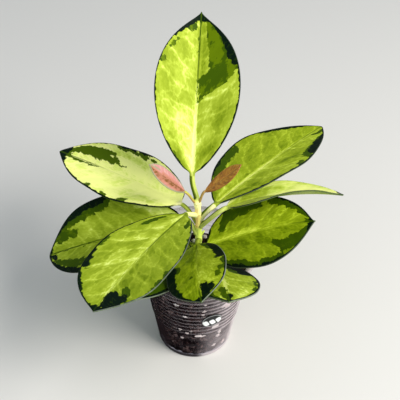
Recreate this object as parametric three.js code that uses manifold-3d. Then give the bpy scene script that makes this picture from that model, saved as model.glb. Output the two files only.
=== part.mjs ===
// A small hoya with variegated leaves, planted in a clear ribbed cup.
// Millimetres, +Z up. The origin is on the table, under the middle of the cup, and the
// plant is seen from the side of -Y, so +X is its right.
import * as THREE from 'three';
import { mergeVertices } from 'three/addons/utils/BufferGeometryUtils.js';
import Module from 'manifold-3d';

const wasm = await Module();
wasm.setup();

// The cup
const CUP_HEIGHT = 74;
const CUP_BASE_RADIUS = 22.5;
const CUP_TOP_RADIUS = 33.9;
const CUP_RIM_RADIUS = 36.5;
const CUP_RIM_DEPTH = 2.6;
const CUP_RIM_ROUND = 0.6;
const CUP_LIP = 0.8;
const CUP_WALL = 0.8;
const CUP_FLOOR = 1.2;
const CUP_FOOT_ROUND = 1.2;
const CUP_FOOT_STEPS = 3;
const CUP_INNER_ROUND = 0.6;
const CUP_SEGMENTS = 36;
const CUP_OPACITY = 0.4;
const RIB_COUNT = 11;
const RIB_PITCH = 3.5;
const RIB_DEPTH = 0.35;
const RIB_START = 25.1;

// The potting mix
const SOIL_LEVEL = 57;
const SOIL_LUMP = 1.3;
const SOIL_EDGE = 5;
const SOIL_RINGS = 8;
const SOIL_SEGMENTS = 32;

// The stem
const STEM_BOTTOM = 34;
const STEM_TOP = 112;
const STEM_RADIUS = 1.7;
const STEM_JOINT_RADIUS = 0.45;
const STEM_JOINT_REACH = 2.2;
const STEM_BOW = 1.2;
const STEM_SIDES = 12;
const STEM_STEPS = 44;
const STEM_JOINTS = [68.5, 74, 80, 90.5, 99, 107];
const STEM_TIP_LENGTH = 4;
const STEM_TIP_CLOSING = 0.75;
const STUB_SIDES = 8;
const STUB = { joint: 80, reach: 7.7, heading: -5, rise: 66, radius: 0.8 };

// The leaves
const BLADE_STEPS = 16;
const BLADE_SHARES = [-1, -0.66, -0.33, 0, 0.33, 0.66, 1];
const BLADE_THICKNESS = 1.3;
const BLADE_EDGE_THICKNESS = 0.8;
const BLADE_SOFT_FOLD = 2.5;
const BLADE_MIN_HALF_WIDTH = 0.5;
const BLADE_MERGE = 0.045;
const DRAWN_TIP = 0.065;
const PETIOLE_STEPS = 6;
const MIDRIB_RELIEF = 0.6;

// The label
const LABEL = { length: 11.8, height: 11.2, thickness: 0.6, turn: 27, heading: -69.8, level: 40.8 };
const LABEL_SEGMENTS = 24;
const LABEL_RINGS = [0.4, 0.75, 1];

// Pieces that touch keep this gap
const GAP = 0.3;

// Each leaf: where its blade starts, the height of its joint on the stem, its heading round
// the stem from +X, its rise over the horizontal, its tilt about its own length, the angles it
// droops, sways and twists through from base to tip, and its size and outline. Its stalk leaves
// the stem at an angle over the horizontal, turned from its way to the blade, and pull is how
// far its bend reaches at both ends.
const LEAF_DEFAULTS = {
  tilt: 0,
  droop: 0,
  droopPower: 1,
  sway: 0,
  twist: 0,
  fold: 5,
  widest: 0.53,
  fullness: 0.8,
  drawn: 0.75,
  lopsided: 0,
  skew: 0,
  wave: 0.5,
  waves: 2.5,
  petiole: 1.5,
  leaving: 38,
  turn: 0,
  pull: 0.38,
  colour: 0x9bbb3c,
};

const LEAVES = {
  leaf_top: {
    base: [-3.3, 8.1, 120.7], joint: 107.5, heading: 87, rise: 52, tilt: -2, twist: -3,
    length: 90.5, width: 50, fold: 19, widest: 0.54, drawn: 0.93,
  },
  leaf_left_upper: {
    base: [-8.9, 3.9, 102.9], joint: 90.5, leaving: 50, pull: 0.3, heading: 142, rise: -3, tilt: -3,
    droop: -7, sway: -16, length: 87.5, width: 49, fold: 6, widest: 0.5, fullness: 0.67, drawn: 0.5,
    lopsided: 0.02, skew: 0.02, petiole: 1.2, colour: 0xc3d762,
  },
  leaf_left_back: {
    base: [-6.6, 1.6, 93], joint: 82, leaving: 55, pull: 0.22, heading: 189.5, rise: -9, tilt: 14,
    droop: 29, sway: 12, length: 88, width: 50.5, fold: 14, widest: 0.55, fullness: 0.76, drawn: 0.4,
    lopsided: 0.07, colour: 0x7d9c3c,
  },
  leaf_left_front: {
    base: [-6.2, -4.2, 102.5], joint: 99, leaving: 4, pull: 0.15, heading: 239, rise: 8.3, tilt: -9,
    droop: 7.3, sway: -5.7, twist: -6, length: 92.5, width: 51, fold: 5, widest: 0.587,
    fullness: 0.67, drawn: 0.9, lopsided: 0.06, skew: -0.05,
  },
  leaf_left_low: {
    base: [-3.5, -1, 76.3], joint: 73.5, heading: 234, rise: 8, tilt: -9, droop: -2, sway: -8,
    length: 68, width: 38.5, fold: 2, wave: 0.2, petiole: 1.3, colour: 0x3f6a3a,
  },
  leaf_front: {
    base: [0.2, -11.5, 86.6], joint: 79, heading: 267, rise: 17, tilt: -26, droop: 16, sway: -7,
    length: 55.5, width: 35, fold: 4, widest: 0.55, fullness: 0.68, drawn: 0.94, lopsided: -0.02,
  },
  leaf_front_right: {
    base: [9.7, -14.6, 75.9], joint: 68.5, heading: 286, rise: 23, tilt: 7, droop: -1, sway: 14, twist: -2,
    length: 58.5, width: 37, fold: -2, wave: 0.2, lopsided: -0.04, colour: 0x7fae3a,
  },
  leaf_right_upper: {
    base: [9.6, -0.7, 106.9], joint: 91.5, leaving: 62, turn: 50, pull: 0.3, petiole: 1.6,
    heading: 49.2, rise: 5.3, tilt: 19.3, droop: 5.1, sway: 4.1, twist: -5.9, length: 95.7,
    width: 53.7, fold: 7, widest: 0.517, fullness: 0.92, drawn: 0.05, lopsided: -0.149,
  },
  leaf_right_drooping: {
    base: [15.6, -5.8, 109.4], joint: 89.5, leaving: 44, turn: -45, pull: 0.2, petiole: 1.4,
    heading: 25.5, rise: 6.4, tilt: 22.4, droop: 24, droopPower: 0.91, sway: 13.1, twist: 20.9,
    length: 71, width: 44.4, fold: 14, widest: 0.5, fullness: 0.81, drawn: 0.15, lopsided: -0.03,
    skew: -0.165, wave: 0.2, colour: 0xa9c253,
  },
  leaf_right_lower: {
    base: [5.7, -4.6, 78.4], joint: 73, heading: -1, rise: 30.1, tilt: -14.3, droop: -3.4, sway: 18.8,
    twist: 2, length: 68.8, width: 46.9, fold: 4.4, widest: 0.48, fullness: 0.55, drawn: 1,
    lopsided: 0.06, skew: 0.06, wave: 0.3, colour: 0x8fb52f,
  },
  leaf_young_pink: {
    base: [-6.7, -1.9, 116.9], joint: 107, heading: 177, rise: 39, tilt: 6, droop: -6, sway: 2,
    length: 27, width: 13, fold: 4, wave: 0, petiole: 0.75, colour: 0xd79a8c,
  },
  leaf_young_copper: {
    base: [3.8, -1.9, 117.6], joint: 107.5, heading: 3, rise: 40, tilt: -6, droop: -7, sway: -3,
    length: 27, width: 11.4, fold: 3, wave: 0, petiole: 0.75, pull: 0.22, colour: 0x8f4f28,
  },
};

const radians = (angle) => (angle * Math.PI) / 180;
const smooth = (from, to, x) => THREE.MathUtils.smoothstep(x, from, to);

// A mesh of one named piece with its colour and finish
function piece(name, geometry, colour, roughness, opacity = 1) {
  geometry.computeVertexNormals();
  const material = new THREE.MeshStandardMaterial({ color: colour, roughness, metalness: 0 });
  material.transparent = opacity < 1;
  material.opacity = opacity;
  const mesh = new THREE.Mesh(geometry, material);
  mesh.name = name;
  return mesh;
}

function fromTriangles(points, triangles) {
  const geometry = new THREE.BufferGeometry();
  geometry.setAttribute('position', new THREE.Float32BufferAttribute(points, 3));
  geometry.setIndex(triangles);
  return geometry;
}

// A closed skin over a row of rings with the same number of points. flipFrom is the first point
// of the half whose squares are split the other way, so that both faces of a thin blade are
// split along the same lines.
function skin(rings, flipFrom) {
  const count = rings[0].length;
  const points = rings.flat().flatMap((p) => [p.x, p.y, p.z]);
  const triangles = [];
  for (let i = 0; i + 1 < rings.length; i += 1) {
    for (let j = 0; j < count; j += 1) {
      const next = (j + 1) % count;
      const a = i * count + j;
      const b = i * count + next;
      const c = a + count;
      const d = b + count;
      if (j < flipFrom) {
        triangles.push(a, b, d, a, d, c);
      } else {
        triangles.push(a, b, c, b, d, c);
      }
    }
  }
  for (const [ring, flip] of [[0, true], [rings.length - 1, false]]) {
    const middle = rings[ring].reduce((sum, p) => sum.add(p), new THREE.Vector3()).divideScalar(count);
    const centre = points.length / 3;
    points.push(middle.x, middle.y, middle.z);
    for (let j = 0; j < count; j += 1) {
      const a = ring * count + j;
      const b = ring * count + ((j + 1) % count);
      triangles.push(...(flip ? [centre, b, a] : [centre, a, b]));
    }
  }
  return fromTriangles(points, triangles);
}

function toSolid(geometry) {
  const bare = geometry.clone();
  bare.deleteAttribute('normal');
  bare.deleteAttribute('uv');
  const merged = mergeVertices(bare, 1e-4);
  return new wasm.Manifold(new wasm.Mesh({
    numProp: 3,
    vertProperties: merged.attributes.position.array,
    triVerts: Uint32Array.from(merged.index.array),
  }));
}

function toGeometry(solid) {
  const mesh = solid.getMesh();
  return fromTriangles(Array.from(mesh.vertProperties), Array.from(mesh.triVerts));
}

// The stem's middle line bows a little to +X between the mix and the growing tip
function stemPoint(z) {
  const share = THREE.MathUtils.clamp((z - SOIL_LEVEL) / (STEM_TOP - STEM_TIP_LENGTH - SOIL_LEVEL), 0, 1);
  return new THREE.Vector3(STEM_BOW * Math.sin(Math.PI * share), 0, z);
}

// Its radius swells round each joint and closes at the tip
function stemRadius(z) {
  const swelling = STEM_JOINTS.reduce(
    (sum, joint) => sum + Math.exp(-(((z - joint) / STEM_JOINT_REACH) ** 2)),
    0,
  );
  const tip = 1 - STEM_TIP_CLOSING * smooth(STEM_TOP - STEM_TIP_LENGTH, STEM_TOP, z);
  return (STEM_RADIUS + STEM_JOINT_RADIUS * Math.min(swelling, 1)) * tip;
}

// The stem as a solid, or swollen by a clearance to cut what stands against it
function stemSolid(clearance) {
  const rings = [];
  const bottom = STEM_BOTTOM - clearance;
  const top = STEM_TOP + clearance;
  for (let i = 0; i <= STEM_STEPS; i += 1) {
    const z = bottom + ((top - bottom) * i) / STEM_STEPS;
    const middle = stemPoint(z);
    const radius = (stemRadius(z) + clearance) / Math.cos(Math.PI / STEM_SIDES);
    const ring = [];
    for (let j = 0; j < STEM_SIDES; j += 1) {
      const angle = (2 * Math.PI * j) / STEM_SIDES;
      ring.push(new THREE.Vector3(radius * Math.cos(angle), radius * Math.sin(angle), 0).add(middle));
    }
    rings.push(ring);
  }
  return toSolid(skin(rings, STEM_SIDES));
}

function headingVector(heading, rise) {
  const a = radians(heading);
  const e = radians(rise);
  return new THREE.Vector3(Math.cos(e) * Math.cos(a), Math.cos(e) * Math.sin(a), Math.sin(e));
}

function stem() {
  const start = stemPoint(STUB.joint);
  const end = start.clone().addScaledVector(headingVector(STUB.heading, STUB.rise), STUB.reach);
  const stub = new THREE.ExtrudeGeometry(
    new THREE.Shape().absarc(0, 0, STUB.radius, 0, 2 * Math.PI),
    { steps: 1, curveSegments: STUB_SIDES, extrudePath: new THREE.LineCurve3(start, end) },
  );
  return piece('stem', toGeometry(stemSolid(0).add(toSolid(stub))), 0xb9c56a, 0.5);
}

// Half of a blade's width at a share of its length, as a share of the greatest half width
function outline(share, widest, leaf) {
  const power = (leaf.fullness * (1 - widest)) / widest;
  const peak = widest ** leaf.fullness * (1 - widest) ** power;
  const body = (share ** leaf.fullness * (1 - share) ** power) / peak;
  return body * (1 - leaf.drawn * Math.exp(-(1 - share) / DRAWN_TIP));
}

// The blade's middle line: a point with its forward, side and upward directions at each step.
// It starts along the heading, and turns down by the droop and sideways by the sway.
function bladeFrames(leaf) {
  const forward = headingVector(leaf.heading, leaf.rise);
  const level = new THREE.Vector3(Math.sin(radians(leaf.heading)), -Math.cos(radians(leaf.heading)), 0);
  const over = level.clone().cross(forward);
  const tilt = radians(leaf.tilt);
  const side = level.clone().multiplyScalar(Math.cos(tilt)).addScaledVector(over, Math.sin(tilt));
  const up = over.clone().multiplyScalar(Math.cos(tilt)).addScaledVector(level, -Math.sin(tilt));
  const point = new THREE.Vector3(...leaf.base);
  const frames = [];
  let last = null;
  for (let i = 0; i <= BLADE_STEPS; i += 1) {
    const share = i / BLADE_STEPS;
    const droop = radians(leaf.droop) * share ** leaf.droopPower;
    const sway = radians(leaf.sway) * share;
    const twist = radians(leaf.twist) * share;
    const ahead = forward.clone().multiplyScalar(Math.cos(sway)).addScaledVector(side, Math.sin(sway));
    const tangent = ahead.multiplyScalar(Math.cos(droop)).addScaledVector(up, -Math.sin(droop));
    const across = side.clone().multiplyScalar(Math.cos(sway)).addScaledVector(forward, -Math.sin(sway));
    const normal = across.clone().cross(tangent);
    if (last) {
      const step = leaf.length / BLADE_STEPS / 2;
      point.addScaledVector(last, step).addScaledVector(tangent, step);
    }
    last = tangent;
    frames.push({
      share,
      point: point.clone(),
      tangent,
      side: across.clone().multiplyScalar(Math.cos(twist)).addScaledVector(normal, Math.sin(twist)),
      up: normal.clone().multiplyScalar(Math.cos(twist)).addScaledVector(across, -Math.sin(twist)),
    });
  }
  return frames;
}

// The ring of a round stalk, with as many points as a blade's ring, in the same order
function stalkRing(frame, radius) {
  const count = BLADE_SHARES.length * 2;
  return Array.from({ length: count }, (unused, j) => {
    const angle = Math.PI - ((j + 0.5) * 2 * Math.PI) / count;
    return frame.point.clone()
      .addScaledVector(frame.side, radius * Math.cos(angle))
      .addScaledVector(frame.up, radius * Math.sin(angle));
  });
}

// The ring of a blade: its upper face from left to right, then its lower face back. Each half
// rises from the midrib by the fold, its edge waves, and the midrib stands out below.
function bladeRing(frame, leaf) {
  const { share } = frame;
  const fold = radians(leaf.fold);
  const ring = [];
  for (const face of [1, -1]) {
    const shares = face > 0 ? BLADE_SHARES : [...BLADE_SHARES].reverse();
    for (const v of shares) {
      const right = v >= 0 ? 1 : -1;
      const widest = leaf.widest + right * leaf.skew;
      const reach = Math.max(
        (leaf.width / 2) * (1 + right * leaf.lopsided) * outline(share, widest, leaf),
        BLADE_MIN_HALF_WIDTH,
      );
      const away = reach * Math.abs(v);
      const wave = leaf.wave * v * v * outline(share, leaf.widest, leaf)
        * Math.sin(2 * Math.PI * (leaf.waves * share + 0.25 * right));
      const height = Math.sin(fold) * (Math.hypot(away, BLADE_SOFT_FOLD) - BLADE_SOFT_FOLD) + wave;
      const thickness = THREE.MathUtils.lerp(BLADE_THICKNESS, BLADE_EDGE_THICKNESS, Math.abs(v));
      const relief = v === 0 && face < 0 ? MIDRIB_RELIEF * (1 - share) : 0;
      ring.push(frame.point.clone()
        .addScaledVector(frame.side, right * away * Math.cos(fold))
        .addScaledVector(frame.up, height + (face * thickness) / 2 - relief));
    }
  }
  return ring;
}

// The stalk's middle line, from the stem's own middle line to the start of the blade
function petioleFrames(leaf, first) {
  const start = stemPoint(leaf.joint);
  const end = first.point;
  const reach = start.distanceTo(end) * leaf.pull;
  const towards = new THREE.Vector3(end.x - start.x, end.y - start.y, 0).normalize();
  const away = towards.add(headingVector(leaf.heading, 0));
  const heading = THREE.MathUtils.radToDeg(Math.atan2(away.y, away.x)) + leaf.turn;
  const curve = new THREE.CubicBezierCurve3(
    start,
    start.clone().addScaledVector(headingVector(heading, leaf.leaving), reach),
    end.clone().addScaledVector(first.tangent, -reach),
    end,
  );
  return Array.from({ length: PETIOLE_STEPS }, (unused, i) => {
    const t = i / PETIOLE_STEPS;
    const tangent = curve.getTangent(t);
    const side = first.side.clone().addScaledVector(tangent, -first.side.dot(tangent)).normalize();
    return { point: curve.getPoint(t), tangent, side, up: side.clone().cross(tangent) };
  });
}

function leafPiece(name, own, clearedStem) {
  const leaf = { ...LEAF_DEFAULTS, ...own };
  const frames = bladeFrames(leaf);
  const rings = petioleFrames(leaf, frames[0]).map((frame) => stalkRing(frame, leaf.petiole));
  for (const frame of frames) {
    const merge = smooth(0, BLADE_MERGE, frame.share);
    const stalk = stalkRing(frame, leaf.petiole);
    const blade = bladeRing(frame, leaf);
    rings.push(stalk.map((p, j) => p.lerp(blade[j], merge)));
  }
  const solid = toSolid(skin(rings, BLADE_SHARES.length)).subtract(clearedStem);
  return piece(name, toGeometry(solid), leaf.colour, 0.35);
}

// The cup's outer wall radius at a height, without its ribs
function wallRadius(z) {
  return CUP_BASE_RADIUS + ((CUP_TOP_RADIUS - CUP_BASE_RADIUS) * z) / CUP_HEIGHT;
}

// The wall's inner radius at a height
function innerRadius(z) {
  return wallRadius(z) - CUP_WALL;
}

// The cup: floor, rounded foot, ribbed wall and rolled rim, turned round Z
function cup() {
  const profile = [new THREE.Vector2(0, 0), new THREE.Vector2(CUP_BASE_RADIUS - CUP_FOOT_ROUND, 0)];
  for (let i = 1; i <= CUP_FOOT_STEPS; i += 1) {
    const angle = ((Math.PI / 2) * i) / CUP_FOOT_STEPS;
    const radius = wallRadius(CUP_FOOT_ROUND) - CUP_FOOT_ROUND * (1 - Math.sin(angle));
    profile.push(new THREE.Vector2(radius, CUP_FOOT_ROUND * (1 - Math.cos(angle))));
  }
  for (let i = 0; i < RIB_COUNT; i += 1) {
    const z = RIB_START + i * RIB_PITCH;
    profile.push(new THREE.Vector2(wallRadius(z), z));
    profile.push(new THREE.Vector2(wallRadius(z) + RIB_DEPTH, z + RIB_PITCH / 2));
  }
  const rimBottom = CUP_HEIGHT - CUP_RIM_DEPTH;
  const ribTop = RIB_START + RIB_COUNT * RIB_PITCH;
  profile.push(new THREE.Vector2(wallRadius(ribTop), ribTop));
  profile.push(new THREE.Vector2(wallRadius(rimBottom), rimBottom));
  profile.push(new THREE.Vector2(CUP_RIM_RADIUS - CUP_RIM_ROUND, rimBottom + CUP_RIM_ROUND / 2));
  profile.push(new THREE.Vector2(CUP_RIM_RADIUS, rimBottom + CUP_RIM_DEPTH / 2));
  profile.push(new THREE.Vector2(CUP_RIM_RADIUS - CUP_RIM_ROUND, CUP_HEIGHT - CUP_RIM_ROUND / 2));
  profile.push(new THREE.Vector2(CUP_TOP_RADIUS + CUP_LIP / 2, CUP_HEIGHT));
  profile.push(new THREE.Vector2(innerRadius(CUP_HEIGHT - CUP_LIP), CUP_HEIGHT - CUP_LIP));
  const innerRoundTop = CUP_FLOOR + CUP_INNER_ROUND;
  profile.push(new THREE.Vector2(innerRadius(innerRoundTop), innerRoundTop));
  profile.push(new THREE.Vector2(innerRadius(CUP_FLOOR) - CUP_INNER_ROUND, CUP_FLOOR));
  profile.push(new THREE.Vector2(0, CUP_FLOOR));
  const turned = new THREE.LatheGeometry(profile, CUP_SEGMENTS).rotateX(Math.PI / 2);
  return piece('cup', toGeometry(toSolid(turned)), 0xb9aeb4, 0.2, CUP_OPACITY);
}

// The lumps on top of the mix, flattened towards the cup's wall
function soilTop(radius, angle, rim) {
  const lumps = Math.sin(radius * 0.55 + 3 * angle) * Math.cos(radius * 0.31 - 5 * angle)
    + 0.6 * Math.sin(radius * 0.9 - 2 * angle);
  return SOIL_LEVEL + SOIL_LUMP * lumps * (1 - smooth(rim - SOIL_EDGE, rim, radius));
}

// The mix fills the cup up to its level, with a plain hole for the stem
function soil(clearedStem) {
  const bottom = CUP_FLOOR + GAP;
  const edges = [
    [innerRadius(bottom) - CUP_INNER_ROUND - GAP, bottom],
    [innerRadius(bottom + CUP_INNER_ROUND) - GAP, bottom + CUP_INNER_ROUND],
    [innerRadius(SOIL_LEVEL) - GAP, SOIL_LEVEL],
  ];
  const topRadius = edges[2][0];
  const ringAt = (radius, height) => Array.from({ length: SOIL_SEGMENTS }, (unused, j) => {
    const angle = (2 * Math.PI * j) / SOIL_SEGMENTS;
    return new THREE.Vector3(radius * Math.cos(angle), radius * Math.sin(angle), height(angle));
  });
  const rings = edges.map(([radius, z]) => ringAt(radius * Math.cos(Math.PI / CUP_SEGMENTS), () => z));
  for (let i = SOIL_RINGS - 1; i >= 1; i -= 1) {
    const radius = (topRadius * i) / SOIL_RINGS;
    rings.push(ringAt(radius, (angle) => soilTop(radius, angle, topRadius)));
  }
  return piece('soil', toGeometry(toSolid(skin(rings, 0)).subtract(clearedStem)), 0x3a2a26, 0.95);
}

// The label: an oval that follows the cup's wall, turned a little out of level
function label() {
  const turn = radians(LABEL.turn);
  const place = (x, y, lift) => {
    const along = x * Math.cos(turn) - y * Math.sin(turn);
    const z = LABEL.level + x * Math.sin(turn) + y * Math.cos(turn);
    const radius = wallRadius(z) + RIB_DEPTH + GAP + lift;
    const angle = radians(LABEL.heading) + along / wallRadius(LABEL.level);
    return new THREE.Vector3(radius * Math.cos(angle), radius * Math.sin(angle), z);
  };
  const ringAt = (share, lift) => Array.from({ length: LABEL_SEGMENTS }, (unused, j) => {
    const angle = (2 * Math.PI * j) / LABEL_SEGMENTS;
    const x = (LABEL.length / 2) * share * Math.cos(angle);
    const y = (LABEL.height / 2) * share * Math.sin(angle);
    return place(x, y, lift);
  });
  const back = LABEL_RINGS.map((share) => ringAt(share, 0));
  const front = LABEL_RINGS.map((share) => ringAt(share, LABEL.thickness)).reverse();
  const rings = [...back, ...front];
  return piece('label', skin(rings, 0), 0x17171a, 0.4);
}

const hoya = new THREE.Group();
const clearedStem = stemSolid(GAP);
hoya.add(cup(), soil(clearedStem), label(), stem());
for (const [name, leaf] of Object.entries(LEAVES)) {
  hoya.add(leafPiece(name, leaf, clearedStem));
}

export default hoya;
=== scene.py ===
"""A small hoya with variegated leaves, planted in a clear ribbed cup.

The tables and shape functions are in millimetres, and a mesh becomes metres when it is made.
+Z is up, the origin is under the middle of the cup's flat base, and the view is from -Y.
"""

import math

import bmesh
import bpy
import numpy as np
from bpy.props import FloatProperty, FloatVectorProperty, IntProperty, PointerProperty
from mathutils import Matrix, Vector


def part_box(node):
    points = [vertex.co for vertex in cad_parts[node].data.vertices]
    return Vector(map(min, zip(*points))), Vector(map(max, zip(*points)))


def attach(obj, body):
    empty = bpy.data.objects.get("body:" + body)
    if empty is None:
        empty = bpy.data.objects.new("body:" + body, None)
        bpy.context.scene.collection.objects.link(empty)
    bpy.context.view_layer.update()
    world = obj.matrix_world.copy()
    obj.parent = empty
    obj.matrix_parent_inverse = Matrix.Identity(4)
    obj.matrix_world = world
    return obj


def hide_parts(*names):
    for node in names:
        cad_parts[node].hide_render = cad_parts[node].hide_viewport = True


bl_info = {
    "name": "Potted hoya",
    "version": (1, 0, 0),
    "blender": (4, 5, 0),
    "location": "View3D > Sidebar > Hoya",
    "description": "Makes the fine leaves, stem, cup and potting mix of a small hoya",
    "category": "Object",
}

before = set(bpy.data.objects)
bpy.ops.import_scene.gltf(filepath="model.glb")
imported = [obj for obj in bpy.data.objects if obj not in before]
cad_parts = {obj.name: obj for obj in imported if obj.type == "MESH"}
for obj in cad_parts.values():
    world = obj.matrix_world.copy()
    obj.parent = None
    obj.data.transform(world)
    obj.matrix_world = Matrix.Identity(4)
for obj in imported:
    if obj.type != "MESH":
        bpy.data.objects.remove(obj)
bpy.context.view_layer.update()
BODY = "root"
METRES = 0.001

# The cup, with its height and rim from the frame
CUP_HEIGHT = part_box("cup")[1].z / METRES
CUP_RIM_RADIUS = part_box("cup")[1].x / METRES
CUP_BASE_RADIUS = 22.5
CUP_TOP_RADIUS = 33.9
CUP_SLOPE = (CUP_TOP_RADIUS - CUP_BASE_RADIUS) / CUP_HEIGHT
CUP_RIM_DEPTH = 2.6
CUP_LIP = 0.8
CUP_WALL = 0.8
CUP_FLOOR = 1.2
CUP_FOOT_ROUND = 1.2
CUP_INNER_ROUND = 0.6
RIB_START = 25.1
RIB_PITCH = 3.5
RIB_COUNT = 11
RIB_TOP = RIB_START + RIB_COUNT * RIB_PITCH
RIB_FADE = 1.5
RIB_STEPS = 12
CUP_MIDDLE = 0.4
CUP_COLUMNS = 144
CUP_FOOT_REACH = 2.0
CUP_FOOT_STEP = 1.0
CUP_NECK = 0.2

# The potting mix
MIX_LEVEL = 57.0
MIX_LUMP = 1.3
MIX_EDGE = 5.0
MIX_GAP = 0.3
MIX_COLUMNS = 200
MIX_ROWS = 84
MIX_TOP_ROWS = 44
MIX_FOOT_STEP = 0.8
MIX_MIDDLE = 0.6

# Random pits in the mix's side and lumps on its top: their width, seed, and depth or height
MIX_PITS = ((5.0, 3, 0.55), (1.9, 4, 0.3))
MIX_FINE_LUMPS = (3.2, 5, 0.35)

# Random grains and chips. At the wall the grains have ranges of heading in radians, level,
# width, height and pink share, and the chips of level and of their three sizes. Loose ones
# lie on top, from nearest, a squared share of the radius, as far as LOOSE_MARGIN from the wall.
GRAIN_RANGES = ((-0.3, math.pi + 0.2), (5, 54), (1.2, 4.0), (1.2, 4.0), (0, 0.5))
GRAIN_THICKNESS = 0.6
GRAIN_DEPTH = 0.4
GRAIN_ROUGHNESS = 0.2
GRAIN_SEED = 5
LOOSE_MARGIN = 4.0
LOOSE_PINK = 0.4
LOOSE_GRAINS = dict(nearest=0.02, lift=0.3, least=0.6, most=1.8)
CHIP_LEVELS = (4, 55)
CHIP_SIZES = ((1.2, 3.6), (0.8, 2.4), (0.5, 0.9))
CHIP_DEPTH = 0.9
CHIP_ROUGHNESS = 0.22
LOOSE_CHIPS = dict(nearest=0.01, lift=0.2, least=(1.0, 0.7, 0.4), most=(3.2, 1.8, 0.9))

# The stem and its bare side stalk
STEM_BOTTOM = 50.0
STEM_TOP = 112.0
STEM_RADIUS = 1.7
STEM_BOW = 1.2
STEM_JOINTS = (68.5, 74.0, 80.0, 90.5, 99.0, 107.0)
STEM_JOINT_RADIUS = 0.45
STEM_JOINT_REACH = 2.2
STEM_TIP_LENGTH = 4.0
STEM_TIP_CLOSING = 0.75
STEM_ROUND = 0.6
STEM_ROWS = 220
STEM_COLUMNS = 40
STUB_JOINT = 80.0
STUB_REACH = 7.7
STUB_HEADING = -5.0
STUB_RISE = 66.0
STUB_RADIUS = 0.8
STUB_TAPER = 0.25
STUB_ROUND = 0.7
STUB_ROWS = 30

# The blades. Their rows lie closer together before and after the shares in BLADE_ENDS.
BLADE_ENDS = (0.12, 0.9)
BLADE_ROWS = (20, 96, 30)
BLADE_SOFT_FOLD = 2.5
BLADE_MERGE = 0.045
BLADE_DRAWN_TIP = 0.065
BLADE_MIN_HALF_WIDTH = 0.5
BLADE_TIP_CLOSING = 0.8
BLADE_THINNING = 0.35
BLADE_COLUMNS = 128
YOUNG_SEED = 31
PETIOLE_STEPS = 240
PETIOLE_ROWS = 22
PETIOLE_OVERLAP = 0.5
PETIOLE_FLARE = 0.28
PETIOLE_FLARE_REACH = 1.6
PETIOLE_CHANNEL = 0.14
MIDRIB_GROOVE = 0.3
MIDRIB_GROOVE_REACH = 0.9
MIDRIB_RELIEF = 0.6
MIDRIB_REACH = 1.3
VEIN_SPACING = 12.0
VEIN_SLOPE = 0.68
VEIN_STAGGER = 0.25
QUILTING = 0.14
MARGIN_SHARPNESS = 3.0
TIP_SHARPNESS = 1.3
GREEN_FRINGE = 0.4
TONE_REACH = 1.2
STALK_TONE_REACH = 0.35
LEAF_APART = 40.0
HALF_APART = 9.0

# The label, and its marks in shares of its half length and half height
LABEL_LENGTH = 11.8
LABEL_HEIGHT = 11.2
LABEL_THICKNESS = 0.6
LABEL_TURN = 27.0
LABEL_HEADING = -69.8
LABEL_LEVEL = 40.8
LABEL_LIFT = 0.65
LABEL_COLUMNS = 96
LABEL_FRONT_ROWS = 14
LABEL_BACK_ROWS = 8
MARK_PLACES = (-0.67, -0.05, 0.57)
MARK_HALF_WIDTH = 0.26
MARK_HALF_HEIGHT = 0.44
MARK_DROP = 0.24
MARK_SLOPE = 0.34

# The camera: where it stands, how far it looks down and leans, and its focal length in
# widths of a 400 pixel picture
CAMERA_PLACE = (1.41, -365.7, 426.7)
CAMERA_DOWN = 40.91
CAMERA_LEAN = 1.478
CAMERA_FOCUS = 867 / 400
CAMERA_SENSOR = 36.0
CAMERA_RANGE = (0.01, 20.0)

# The lamps' places and sizes, where they face, and the floor, in metres
KEY_PLACE = (0.8, -0.5, 0.95)
KEY_SIZE = 0.7
FILL_PLACE = (-0.7, -0.9, 0.8)
FILL_SIZE = 1.2
LAMP_AIM = (0.0, 0.0, 0.1)
FLOOR_REACH = 3.0

# Each leaf's shape: where its blade starts, its joint's height on the stem, its heading round
# the stem from +X, its rise, its tilt about its own length, the angles that it droops, sways
# and twists through from base to tip, and its size and outline, as in the solids. Its stalk
# leaves the stem at an angle over the horizontal, turned from its way to the blade, and pull is
# how far its bend reaches at both ends.
LEAF_SHAPE = dict(
    tilt=0, droop=0, droop_power=1, sway=0, twist=0, fold=5, widest=0.53, fullness=0.8,
    drawn=0.75, lopsided=0, skew=0, wave=0.5, waves=2.5, thickness=1.15, petiole=1.5,
    leaving=38, turn=0, pull=0.38,
)

# Each leaf's pattern. Tones run from 0, cream-lime, to 1, deep olive, for the blade's left and
# right half, seen from base to tip, and in the same way for the stalk's, where the two tones also
# paint shade on some stalks, a darker left side and a lit right side. A stroke is (share and
# offset where it starts, share and offset where it ends, its radius in mm at both): share is of
# the length, and offset of the half width, negative on the left. Pale and dull strokes move
# the tone by lift, over a soft edge, and green and black ones are pigment. margins are the dark
# rim's widths. rib_dark holds how dark the midrib's line is at some shares, rib_pale how pale
# the band beside it is, light_green how much of the green pigment is thin, rims how strong the
# painted highlight along each half's thin edge is, and vivid how saturated the ground is.
LEAF_PATTERN = dict(
    tones=(0.6, 0.6), margins=(0.8, 0.8), tip=0.95, rib_dark=((0.75, 0.1), (0.9, 1)),
    rib_pale=0.6, veins=0.8, lift=0.3, soft=3.0, light_green=0.3, rim_highlights=(0.1, 0.1), vivid=0.0,
    pale=(), dull=(), green=(), black=(), stalk=(0.5, 0.5),
)

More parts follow.
